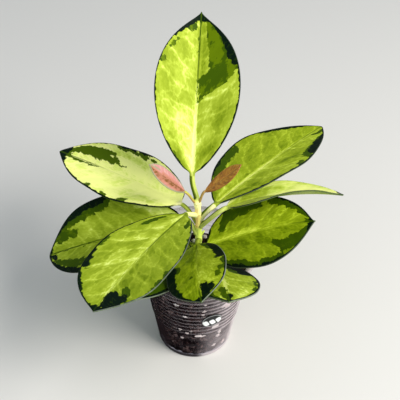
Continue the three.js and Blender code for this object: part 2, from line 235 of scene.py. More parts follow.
LEAVES = {
    "leaf_top": dict(
        base=(-3.3, 8.1, 120.7), joint=107.5, heading=87, rise=52, tilt=-2, twist=-3,
        length=90.5, width=50, fold=19, widest=0.54, drawn=0.93,
        tones=(0.56, 0.56), margins=(0.7, 1.1), tip=0.94, rib_pale=0.8, light_green=1.0,
        rim_highlights=(0.05, 0.2), lift=0.36, soft=6.5,
        rib_dark=((0, 0), (0.45, 0.1), (0.6, 0.8), (0.7, 1), (1, 1)), stalk=(0.9, 0.28),
        pale=((0.04, -0.12, 0.34, -0.3, 5, 6), (0.03, 0.12, 0.07, 0.12, 3, 3),
              (0.05, -0.2, 0.16, -0.3, 2, 4), (0.72, 0.5, 0.86, 0.55, 3, 4)),
        # The first dull stroke paints a sheen near the base on the right as a duller, greyer tone.
        dull=((0.11, 0.35, 0.19, 0.7, 3.5, 4), (0.27, 0.66, 0.42, 0.62, 1.5, 2.5),
              (0.6, 0.12, 0.9, 0.16, 2.4, 2.8), (0.08, -0.85, 0.15, -0.66, 2.5, 2)),
        green=((0.45, 0.05, 0.56, 0.16, 0.6, 4), (0.56, 0.28, 0.66, 0.6, 4, 6.5),
               (0.66, 0.55, 0.84, 0.52, 7, 6.8), (0.7, 0.85, 0.9, 0.8, 4.5, 4.5),
               (0.86, 0.5, 0.93, 0.6, 4, 3), (0.1, -0.96, 0.14, -0.86, 1, 1.2),
               (0.69, -0.93, 0.7, -0.93, 2, 1.5), (0.8, -0.82, 0.82, -0.74, 2, 1.2),
               (0.9, -0.25, 0.91, -0.6, 1.2, 2), (0.74, -0.015, 1.0, -0.015, 0.1, 1.0)),
        black=((0.88, -1.0, 0.96, -0.6, 3.8, 3.4), (0.96, -0.3, 0.98, 0.6, 2, 2.5),
               (0.74, 0.98, 0.93, 0.95, 5.5, 4.5), (0.06, -0.95, 0.2, -0.98, 1.6, 1.2)),
    ),
    "leaf_left_upper": dict(
        base=(-8.9, 3.9, 102.9), joint=90.5, leaving=50, pull=0.3, heading=142, rise=-3, tilt=-3,
        droop=-7, sway=-16, length=87.5, width=49, fold=6, widest=0.5, fullness=0.67, drawn=0.5,
        lopsided=0.02, skew=0.02, petiole=1.2,
        tones=(0.04, 0.04), margins=(1.0, 0.7), tip=0.935, rib_pale=0.2, veins=0.6,
        rim_highlights=(0.0, 0.0), vivid=0.12, lift=0.24,
        rib_dark=((0, 0), (0.6, 0.1), (0.72, 0.7), (1, 1)), stalk=(0.5, 0.7),
        dull=((0.2, -0.62, 0.33, -0.66, 5, 5), (0.4, 0.62, 0.62, 0.7, 3, 3.5)),
        green=((0.7, -0.06, 0.9, -0.16, 1.1, 2.2), (0.54, 0.3, 0.73, 0.42, 0.8, 4.4),
               (0.73, 0.42, 0.95, 0.54, 4.4, 5), (0.68, 0.58, 0.9, 0.66, 2, 4.6),
               (0.4, 0.84, 0.66, 0.93, 1.4, 2.2),
               (0.32, -0.9, 0.34, -0.88, 2.6, 2), (0.46, -0.95, 0.48, -0.93, 2.4, 2),
               (0.62, -0.92, 0.62, -0.9, 1.6, 1.4), (0.93, -0.2, 0.95, 0.3, 3, 3)),
        black=((0.45, 0.97, 0.64, 0.98, 1, 1.4), (0.94, -0.9, 0.96, -0.4, 3, 3),
               (0.97, 0.4, 0.97, 0.9, 2.5, 2.5), (0.07, -0.96, 0.16, -0.97, 1.6, 1)),
    ),
    "leaf_left_back": dict(
        base=(-6.6, 1.6, 93), joint=82, leaving=55, pull=0.22, heading=189.5, rise=-9, tilt=14,
        droop=29, sway=12, length=88, width=50.5, fold=14, widest=0.55, fullness=0.76, drawn=0.4,
        lopsided=0.07,
        tones=(0.7, 0.68), margins=(1.6, 1.6), tip=0.97, rib_pale=0.3, veins=0.7, lift=0.45,
        rim_highlights=(0.0, 0.0), light_green=0.6,
        rib_dark=((0, 0.1), (0.5, 0.2), (0.58, 1), (1, 1)),
        pale=((0.02, 0.4, 0.26, 0.8, 8, 6),),
        green=((0.77, 0.38, 0.88, 0.52, 2.6, 4.2), (0.68, -0.6, 0.88, -0.66, 3.5, 4),
               (0.9, 0.6, 0.93, 0.9, 2, 3), (0.53, 0.82, 0.72, 0.8, 3.8, 5.6),
               (0.72, 0.8, 0.92, 0.88, 5.6, 5), (0.62, -0.02, 0.94, -0.02, 0.2, 0.6)),
        black=((0.54, 0.92, 0.72, 0.92, 2.4, 3.2), (0.72, 0.92, 0.92, 0.96, 3.2, 3.2),
               (0.64, -0.98, 0.92, -0.92, 3, 4.2), (0.93, -0.5, 0.95, -0.2, 2, 1.5)),
        stalk=(0.3, 0.35),
    ),
    "leaf_left_front": dict(
        base=(-6.2, -4.2, 102.5), joint=99, leaving=4, pull=0.15, heading=239, rise=8.3, tilt=-9,
        droop=7.3, sway=-5.7, twist=-6, length=92.5, width=51, widest=0.587, fullness=0.67,
        drawn=0.9, lopsided=0.06, skew=-0.05,
        tones=(0.76, 0.70), margins=(0.6, 1.0), tip=0.955, rib_pale=0.25, veins=0.85,
        rim_highlights=(0.35, 0.0),
        rib_dark=((0, 0), (0.06, 0.8), (0.4, 0.8), (0.5, 0.1), (0.95, 0.3)),
        pale=((0.3, 0.06, 0.85, 0.06, 2, 2.5), (0.05, 0.1, 0.2, 0.3, 3, 3),
              (0.34, 0.3, 0.44, 0.7, 1, 1), (0.55, 0.2, 0.68, 0.7, 1.5, 1)),
        green=((0.8, -0.34, 0.86, -0.58, 1.6, 3.4), (0.1, 0.7, 0.2, 0.76, 2.2, 2.4),
               (0.06, -0.8, 0.14, -0.68, 2.2, 3), (0.28, -0.98, 0.34, -0.97, 1, 1),
               (0.58, -0.97, 0.78, -0.96, 1.2, 1.4), (0.42, 0.96, 0.5, 0.97, 1.4, 1.4)),
        black=((0.875, -0.2, 0.97, -0.3, 4.8, 4), (0.91, -0.5, 0.97, -0.85, 6, 5.5),
               (0.985, 0.2, 0.99, 0.8, 2.2, 2.2), (0.55, 0.98, 0.68, 0.95, 1.2, 2.6),
               (0.78, 0.98, 0.86, 0.96, 2, 1.8), (0.1, -0.96, 0.2, -0.98, 1.8, 1)),
        stalk=(0.08, 0.12),
    ),
    "leaf_left_low": dict(
        base=(-3.5, -1, 76.3), joint=73.5, heading=234, rise=8, tilt=-9, droop=-2, sway=-8,
        length=68, width=38.5, fold=2, wave=0.2, petiole=1.3,
        tones=(0.8, 0.82), margins=(2.5, 2.5), tip=0.9, veins=0.5, light_green=1.0, rim_highlights=(0.4, 0.4),
        green=((0.3, -0.75, 0.85, -0.75, 4.5, 4.5), (0.3, 0.75, 0.85, 0.75, 4, 4.5),
               (0.6, -0.3, 0.9, 0.1, 2, 3.5)),
        black=((0.66, -0.98, 0.92, -0.96, 1.4, 1.8),),
        stalk=(0.8, 0.7),
    ),
    "leaf_front": dict(
        base=(0.2, -11.5, 86.6), joint=79, heading=267, rise=17, tilt=-26, droop=16, sway=-7,
        length=55.5, width=35, fold=4, widest=0.55, fullness=0.68, drawn=0.94, lopsided=-0.02,
        tones=(0.6, 0.82), margins=(1.0, 1.2), tip=0.93, rib_pale=0.4, veins=0.7,
        rim_highlights=(0.4, 0.15), vivid=0.6,
        rib_dark=((0, 0.5), (0.1, 0.3), (0.25, 0), (0.78, 0.1), (0.86, 1)),
        dull=((0.08, 0.05, 0.3, 0.2, 2.5, 3),),
        green=((0.04, -0.6, 0.18, -0.66, 2.6, 2), (0.64, -0.78, 0.7, -0.72, 2, 2.2),
               (0.48, -0.94, 0.64, -0.94, 1.4, 1.6), (0.6, 0.13, 0.63, 0.18, 0.9, 0.5),
               (0.42, 0.68, 0.46, 0.62, 2, 1.4), (0.12, 0.85, 0.4, 0.9, 1.6, 2.4)),
        black=((0.13, -0.9, 0.42, -0.86, 3.2, 2.9), (0.79, -0.22, 0.93, -0.32, 2.7, 3),
               (0.84, -0.48, 0.93, -0.62, 3, 2.8), (0.42, 0.85, 0.72, 0.9, 2.8, 2.8),
               (0.72, 0.92, 0.92, 0.9, 2.8, 2.4)),
        stalk=(0.6, 0.7),
    ),
    "leaf_front_right": dict(
        base=(9.7, -14.6, 75.9), joint=68.5, heading=286, rise=23, tilt=7, droop=-1, sway=14,
        twist=-2, length=58.5, width=37, fold=-2, wave=0.2, lopsided=-0.04,
        tones=(0.66, 0.62), margins=(1.4, 2.0), rib_pale=0.5, veins=1.0,
        rim_highlights=(0.4, 0.2), vivid=0.15,
        pale=((0.76, -0.62, 0.92, -0.7, 3.4, 3.4), (0.5, -0.05, 0.65, 0.05, 1.5, 1.5)),
        green=((0.7, 0.15, 0.95, 0.2, 2.4, 3.4), (0.12, -0.5, 0.3, -0.5, 4, 2),
               (0.5, 0.75, 0.9, 0.8, 4, 4), (0.55, -0.86, 0.72, -0.88, 1.2, 1.4)),
        black=((0.12, -0.85, 0.3, -0.85, 6, 4.6), (0.86, -0.12, 0.98, 0.0, 2.6, 3.8)),
        stalk=(0.7, 0.75),
    ),
    "leaf_right_upper": dict(
        base=(9.6, -0.7, 106.9), joint=91.5, leaving=62, turn=50, pull=0.3, petiole=1.6,
        heading=49.2, rise=5.3, tilt=19.3, droop=5.1, sway=4.1, twist=-5.9, length=95.7,
        width=53.7, fold=7, widest=0.517, fullness=0.92, drawn=0.05, lopsided=-0.149,
        tones=(0.75, 0.62), margins=(1.1, 1.1), tip=0.985, rib_pale=0.85, veins=0.75,
        rib_dark=((0.45, 0), (0.65, 0.35), (0.8, 0.5), (1, 0.8)), light_green=0.7,
        rim_highlights=(0.05, 0.1), vivid=0.4,
        pale=((0.06, 0.05, 0.5, 0.08, 2.2, 1.6), (0.06, -0.4, 0.3, -0.2, 3, 2)),
        dull=((0.1, 0.5, 0.26, 0.6, 3, 3), (0.5, 0.3, 0.62, 0.5, 2, 2.5)),
        green=((0.22, -0.86, 0.48, -0.88, 3.8, 3.4), (0.2, -0.7, 0.24, -0.66, 1.2, 1.2),
               (0.54, 0.92, 0.58, 0.86, 1.8, 1.6), (0.88, 0.22, 0.94, 0.6, 1.6, 3),
               (0.67, 0.8, 0.84, 0.82, 4.8, 5.6)),
        black=((0.22, -0.96, 0.4, -0.99, 1.6, 1.4), (0.74, -0.96, 0.94, -0.9, 2.4, 3.6),
               (0.71, 0.86, 0.8, 0.84, 4.2, 5.4), (0.8, 0.84, 0.92, 0.96, 5.2, 3.2),
               (0.19, 0.97, 0.3, 0.98, 2.2, 1.4)),
        stalk=(0.95, -0.05),
    ),
    "leaf_right_drooping": dict(
        base=(15.6, -5.8, 109.4), joint=89.5, leaving=44, turn=-45, pull=0.2, petiole=1.4,
        heading=25.5, rise=6.4, tilt=22.4, droop=24, droop_power=0.91, sway=13.1, twist=20.9,
        length=71, width=44.4, fold=14, widest=0.5, fullness=0.81, drawn=0.15, lopsided=-0.03,
        skew=-0.165, wave=0.2,
        tones=(0.16, 0.42), margins=(0.5, 0.9), tip=0.97, rib_pale=0.2, veins=0.4,
        rib_dark=((0, 0.1), (1, 0.2)), vivid=0.2,
        pale=((0.5, 0.1, 0.8, -0.2, 5, 7), (0.8, -0.2, 0.95, 0.0, 7, 6)),
        dull=((0.04, -0.2, 0.3, -0.35, 6, 7), (0.3, -0.5, 0.5, -0.5, 4, 3)),
        green=((0.06, 0.99, 0.55, 0.99, 2.4, 1.2),),
        black=((0.15, 0.98, 0.35, 0.98, 1.2, 1.0),),
        stalk=(0.95, 0.25),
    ),
    "leaf_right_lower": dict(
        base=(5.7, -4.6, 78.4), joint=73, heading=-1, rise=30.1, tilt=-14.3, droop=-3.4,
        sway=18.8, twist=2, length=68.8, width=46.9, fold=4.4, widest=0.48, fullness=0.55, drawn=1,
        lopsided=0.06, skew=0.06, wave=0.3,
        tones=(0.62, 0.84), margins=(1.2, 1.3), tip=0.945, rib_pale=0.4, veins=0.65,
        rim_highlights=(0.2, 0.2), vivid=0.8,
        pale=((0.08, -0.08, 0.45, -0.06, 2.5, 2),),
        green=((0.16, -0.36, 0.2, -0.66, 1.4, 3.6), (0.2, -0.72, 0.35, -0.72, 4.4, 4),
               (0.35, -0.78, 0.5, -0.76, 2.6, 2), (0.84, -0.62, 0.92, -0.68, 1.8, 2.4),
               (0.65, 0.42, 0.78, 0.62, 1.6, 4), (0.78, 0.6, 0.92, 0.72, 5, 6),
               (0.8, 0.45, 0.95, 0.52, 2.6, 4), (0.94, -0.3, 0.95, 0.0, 1.6, 2),
               (0.62, -0.88, 0.9, -0.84, 3.4, 4.8), (0.2, 0.9, 0.36, 0.9, 3.6, 3.6),
               (0.36, 0.92, 0.72, 0.94, 3, 2.8), (0.93, 0.4, 0.96, 0.8, 2, 3)),
        black=((0.7, -0.96, 0.9, -0.94, 1.4, 2), (0.2, 0.97, 0.36, 0.97, 1.8, 1.8),
               (0.36, 0.98, 0.72, 0.99, 1.4, 1.4), (0.02, -0.6, 0.05, -0.9, 2, 2)),
    ),
}

YOUNG_LEAVES = {
    "leaf_young_pink": dict(
        base=(-6.7, -1.9, 116.9), joint=107, heading=177, rise=39, tilt=6, droop=-6, sway=2,
        length=27, width=13, fold=4, wave=0, thickness=0.9, petiole=0.75,
        tones=(0.9, 0.25), soft=1.3, lift=0.5,
        pale=((0.3, -0.85, 0.55, -0.8, 1.4, 2), (0.62, -0.95, 0.85, -0.9, 0.8, 0.6)),
        dull=((0.05, 0.1, 0.6, 0.14, 1.4, 1.0),),
        green=((0.74, 0.3, 0.97, 0.3, 0.6, 1.8),),
    ),
    "leaf_young_copper": dict(
        base=(3.8, -1.9, 117.6), joint=107.5, heading=3, rise=40, tilt=-6, droop=-7, sway=-3,
        length=27, width=11.4, fold=3, wave=0, thickness=0.9, petiole=0.75, pull=0.22,
        tones=(0.45, 0.55),
    ),
}

# Pale grains against the cup's wall: heading, level, then width, height and a pink share
WALL_GRAINS = (
    (-111.3, 52.5, 3.6, 3.0, 0.0), (-101.5, 42.8, 3.2, 2.2, 0.0), (-80.1, 45.2, 2.4, 2.2, 0.2),
    (-79.1, 48.6, 3.0, 1.6, 0.2), (-78.3, 55.4, 2.2, 2.0, 0.2), (-61.0, 29.6, 5.4, 5.0, 0.0),
    (-81.1, 22.3, 7.0, 1.9, 0.1), (-52.7, 48.6, 4.8, 3.6, 0.3), (-45.7, 46.5, 5.2, 4.8, 0.4),
    (-57.3, 8.6, 2.6, 3.6, 0.1), (-51.5, 20.8, 2.8, 3.6, 0.1), (-35.4, 4.6, 5.6, 5.0, 0.5),
    (-107.0, 19.4, 2.2, 2.4, 0.3), (-94.3, 27.7, 2.2, 2.0, 0.2), (-109.6, 27.7, 2.2, 2.4, 0.2),
    (-99.8, 25.2, 2.6, 1.4, 0.3), (-53.1, 17.3, 3.4, 3.4, 0.2), (-23.7, 6.0, 2.6, 6.0, 0.5),
)


def smooth(low, high, x):
    """0 below low, 1 above high, and the cubic 3t2 - 2t3 of the share t between them."""
    t = np.clip((x - low) / (high - low), 0, 1)
    return t * t * (3 - 2 * t)


def bump(x, reach):
    """A bell of height 1 that falls off over reach: e to the minus square of x over reach."""
    return np.exp(-((x / reach) ** 2))


def rounded(left, reach):
    """How wide a tube is near its tip: the square root of what is left over a reach."""
    return np.sqrt(np.clip(left / reach, 0.02, 1))


def heading_vector(heading, rise):
    """The unit vector at heading degrees round from +X and rise degrees over the horizontal."""
    a = math.radians(heading)
    e = math.radians(rise)
    return np.array([math.cos(e) * math.cos(a), math.cos(e) * math.sin(a), math.sin(e)])


def unit(vectors):
    """The vectors of the last axis, each divided by its length."""
    return vectors / np.linalg.norm(vectors, axis=-1, keepdims=True)


def ripple(points, wavelength, seed, waves=28):
    """A smooth random height of spread 1 over 3-D points: plane waves in random directions,
    with lengths round the wavelength and random phases, added and evened out."""
    rng = np.random.default_rng(seed)
    directions = unit(rng.normal(size=(waves, 3)))
    lengths = wavelength * rng.uniform(0.7, 1.6, waves)
    phases = rng.uniform(0, 2 * math.pi, waves)
    angles = points @ (directions / lengths[:, None]).T * 2 * math.pi + phases
    return np.sin(angles).sum(-1) / math.sqrt(waves / 2)


def link_object(name, data):
    """A new object that holds the data, in the scene."""
    thing = bpy.data.objects.new(name, data)
    bpy.context.scene.collection.objects.link(thing)
    return thing


def new_piece(name, vertices, faces, material, slot, replaced=(), values=None, flat=False):
    """A mesh object at the origin that rides on the body. vertices are in millimetres, and
    values holds three numbers a vertex under each attribute's name."""
    mesh = bpy.data.meshes.new(name)
    mesh.from_pydata((vertices * METRES).tolist(), [], faces)
    for key, numbers in (values or {}).items():
        attribute = mesh.attributes.new(key, "FLOAT_VECTOR", "POINT")
        attribute.data.foreach_set("vector", numbers.astype(np.float32).ravel())
    mesh.polygons.foreach_set("use_smooth", np.full(len(mesh.polygons), not flat))
    mesh.materials.append(material)
    mesh.update()
    piece = link_object(name, mesh)
    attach(piece, BODY)
    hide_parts(*replaced)
    return piece


def stack_faces(rows, columns):
    """Quads between the rows of a stack of closed rings, and a fan over each end. The ends'
    middle points follow the rings' points."""
    ring = np.arange(columns)
    after = (ring + 1) % columns
    first = np.arange(rows - 1)[:, None] * columns
    above = first + columns
    quads = np.stack([first + ring, first + after, above + after, above + ring], -1)
    middle = np.full(columns, rows * columns)
    top = (rows - 1) * columns
    low = np.stack([middle, after, ring], -1)
    high = np.stack([middle + 1, top + ring, top + after], -1)
    return quads.reshape(-1, 4).tolist() + low.tolist() + high.tolist()


def with_ends(rings):
    """The rings' points or values in one list, followed by the means of the two end rings."""
    flat = rings.reshape(-1, rings.shape[-1])
    return np.concatenate([flat, rings[:1].mean(1), rings[-1:].mean(1)])


def facing_out(vertices, faces):
    """The faces, all turned over if the volume that they enclose comes out negative. Each
    face adds the product of its first corner and the fan over its others, which is six times
    the volume between it and the origin."""
    volume = 0.0
    for size in (3, 4):
        corners = np.array([f for f in faces if len(f) == size])
        if len(corners):
            p = vertices[corners]
            for k in range(1, size - 1):
                volume += np.einsum("ij,ij->", p[:, 0], np.cross(p[:, k], p[:, k + 1]))
    return faces if volume > 0 else [face[::-1] for face in faces]


def ring_piece(name, stacks, material, slot, replaced, values=None):
    """A piece of one or more closed stacks of rings, with values at the rings' points."""
    vertices = [with_ends(rings) for rings in stacks]
    values = {key: with_ends(numbers) for key, numbers in (values or {}).items()}
    faces = []
    first = 0
    for rings, points in zip(stacks, vertices):
        closed = facing_out(points, stack_faces(*rings.shape[:2]))
        faces += [[corner + first for corner in face] for face in closed]
        first += len(points)
    return new_piece(name, np.concatenate(vertices), faces, material, slot, (replaced,), values)


def turns(columns):
    """The angles of a number of points spread evenly round a circle."""
    return 2 * math.pi * np.arange(columns) / columns


def turned_rings(profile, columns):
    """A profile of radii and heights carried round Z: ring i has radius r and height z at the
    angles 2 pi j / columns."""
    angle = turns(columns)
    radius = profile[:, :1]
    height = np.broadcast_to(profile[:, 1:], (len(profile), columns))
    return np.stack([radius * np.cos(angle), radius * np.sin(angle), height], -1)


def arc(centre, radius, start, end, steps):
    """Points on a circle about centre from start to end degrees."""
    a = np.radians(np.linspace(start, end, steps))
    return np.stack([centre[0] + radius * np.cos(a), centre[1] + radius * np.sin(a)], -1)


class Number:
    """A socket that holds a number. Python's operators add the Math nodes."""

    def __init__(self, finish, socket):
        self.finish = finish
        self.socket = socket

    def math(self, operation, *others):
        return self.finish.math(operation, self, *others)

    def __add__(self, other):
        return self.math("ADD", other)

    def __sub__(self, other):
        return self.math("SUBTRACT", other)

    def __rsub__(self, other):
        return self.finish.math("SUBTRACT", other, self)

    def __mul__(self, other):
        return self.math("MULTIPLY", other)

    def __truediv__(self, other):
        return self.math("DIVIDE", other)

    def __abs__(self):
        return self.math("ABSOLUTE")

    def __mod__(self, other):
        return self.math("FLOORED_MODULO", other)

    __radd__ = __add__
    __rmul__ = __mul__


class Finish:
    """A material's nodes. add() makes any node, and the others put common ones together."""

    def __init__(self, name):
        self.material = bpy.data.materials.new(name)
        self.material.use_nodes = True
        self.tree = self.material.node_tree
        self.tree.nodes.clear()

    def add(self, kind, settings=None, inputs=None):
        """A node of a kind: its settings first, then its sockets' values or links."""
        node = self.tree.nodes.new(kind)
        for key, value in (settings or {}).items():
            setattr(node, key, value)
        for key, value in (inputs or {}).items():
            self.feed(node.inputs[key], value)
        return node

    def feed(self, socket, value):
        """Links a socket to another node's, or sets its own value."""
        if isinstance(value, Number):
            value = value.socket
        if isinstance(value, bpy.types.NodeSocket):
            self.tree.links.new(value, socket)
        elif socket.type == "RGBA":
            socket.default_value = (*value[:3], 1.0)
        else:
            socket.default_value = value

    def math(self, operation, *values):
        node = self.add("ShaderNodeMath", {"operation": operation}, dict(enumerate(values)))
        return Number(self, node.outputs[0])

    def step(self, value, low, high):
        """0 below low and 1 above high, with a smooth step between."""
        inputs = {"Value": value, "From Min": low, "From Max": high}
        node = self.add("ShaderNodeMapRange", {"interpolation_type": "SMOOTHSTEP"}, inputs)
        return Number(self, node.outputs["Result"])

    def mix(self, factor, first, second):
        """The first colour where the factor is 0, and the second where it is 1."""
        inputs = {0: factor, 6: first, 7: second}
        return self.add("ShaderNodeMix", {"data_type": "RGBA"}, inputs).outputs[2]

    def ramp(self, value, *stops):
        """A colour that runs through stops, each a place from 0 to 1 and its colour."""
        node = self.add("ShaderNodeValToRGB", None, {"Fac": value})
        elements = node.color_ramp.elements
        while len(elements) < len(stops):
            elements.new(1.0)
        for element, (place, colour) in zip(elements, stops):
            element.position = place
            element.color = (*colour, 1.0)
        return node.outputs["Color"]

    def attribute(self, name):
        """The vector that the mesh holds under a name."""
        return self.add("ShaderNodeAttribute", {"attribute_name": name}).outputs["Vector"]

    def split(self, vector):
        """The three numbers of a vector, or of the one that the mesh holds under a name."""
        if isinstance(vector, str):
            vector = self.attribute(vector)
        node = self.add("ShaderNodeSeparateXYZ", None, {0: vector})
        return [Number(self, output) for output in node.outputs]

    def place(self):
        """The point's own place on the piece, in metres."""
        return self.add("ShaderNodeTexCoord").outputs["Object"]

    def upright(self):
        """The point's x, its distance from the Z axis and its height, in mm."""
        x, y, z = (part / METRES for part in self.split(self.place()))
        return x, self.math("SQRT", x * x + y * y), z

    def stretched(self, vector, scales):
        """A vector with each of its numbers times a scale."""
        inputs = {0: vector, 1: scales}
        return self.add("ShaderNodeVectorMath", {"operation": "MULTIPLY"}, inputs).outputs[0]

    def warped(self, vector, scale, amount):
        """A vector moved about at random by up to an amount."""
        noise = self.add("ShaderNodeTexNoise", None, {"Vector": vector, "Scale": scale})
        inputs = {0: noise.outputs["Color"], 1: (amount, amount, amount), 2: vector}
        return self.add("ShaderNodeVectorMath", {"operation": "MULTIPLY_ADD"}, inputs).outputs[0]

    def noise(self, vector, scale, detail=3.0, roughness=0.55):
        """Random numbers about 0."""
        inputs = {"Vector": vector, "Scale": scale, "Detail": detail, "Roughness": roughness}
        return Number(self, self.add("ShaderNodeTexNoise", None, inputs).outputs["Fac"]) - 0.5

    def field(self, vector, along, across):
        """Noise in patches of a length and width, for vectors in mm. Their third number only
        keeps the leaves and their halves apart."""
        return self.noise(self.stretched(vector, (1 / along, 1 / across, 0.25)), 1.0)

    def cells(self, vector, scale):
        """Voronoi cells: a random number for each, and the distance to the nearest edge."""
        inputs = {"Vector": vector, "Scale": scale}
        own = self.add("ShaderNodeTexVoronoi", {"feature": "F1"}, inputs)
        edge = self.add("ShaderNodeTexVoronoi", {"feature": "DISTANCE_TO_EDGE"}, inputs)
        return self.split(own.outputs["Color"])[0], Number(self, edge.outputs["Distance"])

    def shader(self, colour, roughness, specular, relief=None, others=None):
        """A shader from its main sockets. relief bumps its normal: a height, its distance in
        metres and its strength."""
        sockets = {"Base Color": colour, "Roughness": roughness, "Specular IOR Level": specular}
        if relief:
            inputs = dict(zip(("Height", "Distance", "Strength"), relief))
            sockets["Normal"] = self.add("ShaderNodeBump", None, inputs).outputs["Normal"]
        sockets.update(others or {})
        return self.add("ShaderNodeBsdfPrincipled", None, sockets).outputs[0]

    def end(self, surface):
        """The finished material."""
        self.add("ShaderNodeOutputMaterial", None, {"Surface": surface})
        return self.material


def leaf_finish(look):
    """The waxy variegated leaf. The ground's tone runs from cream-lime to deep olive: clouds,
    islands inside a net of fine veins and a fine grain move it, and the side veins and the
    midrib are paler. Green and black pigment lies over it with ragged edges."""
    f = Finish("waxy_leaf")
    grain = f.attribute("veinwise")
    green, black, rib_dark = f.split("pigment")
    across, vein, rim = f.split("rib")
    face, blade, tone = f.split("place")
    vein_strength, rib_pale, light_green = f.split("habit")
    rim_highlight, vivid = f.split("edge")[:2]

    cloud = f.field(grain, 14.0, 9.0)
    blot = f.field(grain, 5.5, 3.4)
    tooth = f.field(grain, 3.2, 5.5)
    frayed = f.field(grain, 0.9, 2.2)
    speckle = f.field(grain, 1.7, 1.2)

    nets = f.stretched(f.warped(grain, 0.25, 6.0), (0.115, 0.14, 0.12))
    island, net = f.cells(nets, 1.0)
    net_line = f.step(net + speckle * 0.12, 0.12, 0.0)
    branch = abs((vein % 1.0) - 0.5) * VEIN_SPACING + blot * 2.4 + speckle * 1.2
    halo = f.step(branch, 2.4, 0.2)
    core = f.step(branch, 0.8, 0.1)
    shown = f.step(cloud + blot * 0.5, -0.13, 0.07) * 0.75 + 0.25
    branch_line = (halo * 0.55 + core * 0.45) * shown
    fading = f.step(rim, 0.8, 5.0)
    lines = (branch_line * 0.3 + net_line * 0.15) * fading * vein_strength

    off_rib = abs(across) + speckle * 0.5
    band = f.step(off_rib, 1.7, 0.5) * rib_pale * (1 - rib_dark)
    mottle = blot * (vivid * 0.35 + 0.25) + speckle * (vivid * 0.3 + 0.3)
    ground_tone = tone + cloud * 0.7 + mottle + (island - 0.5) * 0.17
    ground = f.ramp(
        ground_tone - lines - band * 0.38,
        (0.0, look.cream), (0.2, look.pale), (0.4, look.lime), (0.6, look.olive_lime),
        (0.8, look.olive), (1.0, look.deep),
    )
    ground = f.mix(vivid, ground, f.stretched(ground, (0.97, 1.0, 0.2)))
    shows = blot * 1.2 + cloud * 0.6 + frayed * 0.4 + (0.55 - tone) * 0.7
    thin = f.step(shows, -0.06, 0.12) * light_green
    shaded = f.mix(thin, look.green, look.green_light)
    green_mask = f.step(green + tooth * 8.0 + frayed * 1.8, -0.2, 0.25)
    black_mask = f.step(black + tooth * 6.0 + frayed * 2.0, -0.2, 0.25)
    colour = f.mix(green_mask, ground, shaded)
    # Worn patches where the black pigment thins to green.
    wear_and_light = f.step(frayed + tooth * 0.5, 0.08, 0.2) * 0.3
    colour = f.mix(black_mask, colour, f.mix(wear_and_light, look.black, look.green))

    crease = f.step(off_rib, 0.65, 0.25) * rib_dark
    colour = f.mix(crease * 0.8, colour, look.green)
    # Painted highlight: the blade's thin edge turns towards the pale rim colour.
    edge = f.step(rim, 0.5, 0.15) * (f.step(cloud, -0.1, 0.1) * 0.4 + 0.6)
    colour = f.mix(edge * rim_highlight, colour, look.rim)
    under = f.mix(0.6, colour, look.under)
    colour = f.mix(f.step(face, -0.02, 0.02), under, colour)

    # The stalk's tone is partly its own and partly painted shade: on some stalks the left side is
    # darker and the right lit.
    stalk = f.ramp(
        tone + f.field(grain, 20.0, 0.5) * 0.35 + speckle * 0.1,
        (0.0, look.stalk_cream), (0.3, look.stalk_lime), (0.6, look.stalk_olive),
        (0.8, look.stalk_green), (1.0, look.stalk_dark),
    )
    colour = f.mix(f.step(blade, 0.35, 0.95), stalk, colour)
    height = speckle * 0.12 - branch_line * fading * 0.3 - net_line * fading * 0.12
    return f.end(f.shader(colour, 0.5 + speckle * 0.2, 0.04, (height, 0.0002, 0.6)))


def young_leaf(f, colour, side, stalks, patches, height):
    """Ends a young leaf's finish with a stalk in two colours, side by side."""
    blade = f.split("place")[1]
    colour = f.mix(f.step(blade, 0.3, 0.95), f.mix(side, *stalks), colour)
    return f.end(f.shader(colour, 0.38 + patches * 0.3, 0.3, (height, 0.0003, 0.5)))


def pink_finish(look):
    """The young pink leaf: its tone runs from blush over pink and salmon to brown, with
    streaks along the side veins."""
    f = Finish("young_pink_leaf")
    grain = f.attribute("veinwise")
    across, rim = f.split("rib")[::2]
    streak = f.field(grain, 1.3, 6.0)
    speckle = f.field(grain, 0.8, 0.8)
    colour = f.ramp(
        f.split("place")[2] + streak * 0.9 + speckle * 0.35,
        (0.0, look.blush), (0.3, look.pink), (0.55, look.salmon), (0.8, look.rust),
        (1.0, look.umber),
    )
    green = f.split("pigment")[0]
    colour = f.mix(f.step(green + streak * 4.0, -0.4, 0.8) * 0.75, colour, look.sage)
    colour = f.mix(f.step(rim, 0.5, 0.1) * 0.12, colour, look.blush)
    side = f.step(across, -0.7, -0.3)
    stalks = (look.stalk_orange, look.stalk_yellow)
    return young_leaf(f, colour, side, stalks, streak, streak + speckle * 0.5)


def copper_finish(look):
    """The young copper leaf: umber to amber mottles along the side veins."""
    f = Finish("young_copper_leaf")
    grain = f.attribute("veinwise")
    across, rim = f.split("rib")[::2]
    mottle = f.field(grain, 1.8, 3.4)
    colour = f.ramp(
        f.split("place")[2] + mottle * 2.2 + f.field(grain, 0.7, 0.7) * 0.8,
        (0.0, look.amber), (0.5, look.copper), (1.0, look.umber),
    )
    colour = f.mix(f.step(abs(across), 0.4, 0.1) * 0.3, colour, look.amber)
    colour = f.mix(f.step(rim, 0.5, 0.1) * 0.5, colour, look.umber)
    side = f.step(across, -0.2, 0.3)
    return young_leaf(f, colour, side, (look.stalk_tan, look.stalk_orange), mottle, mottle)


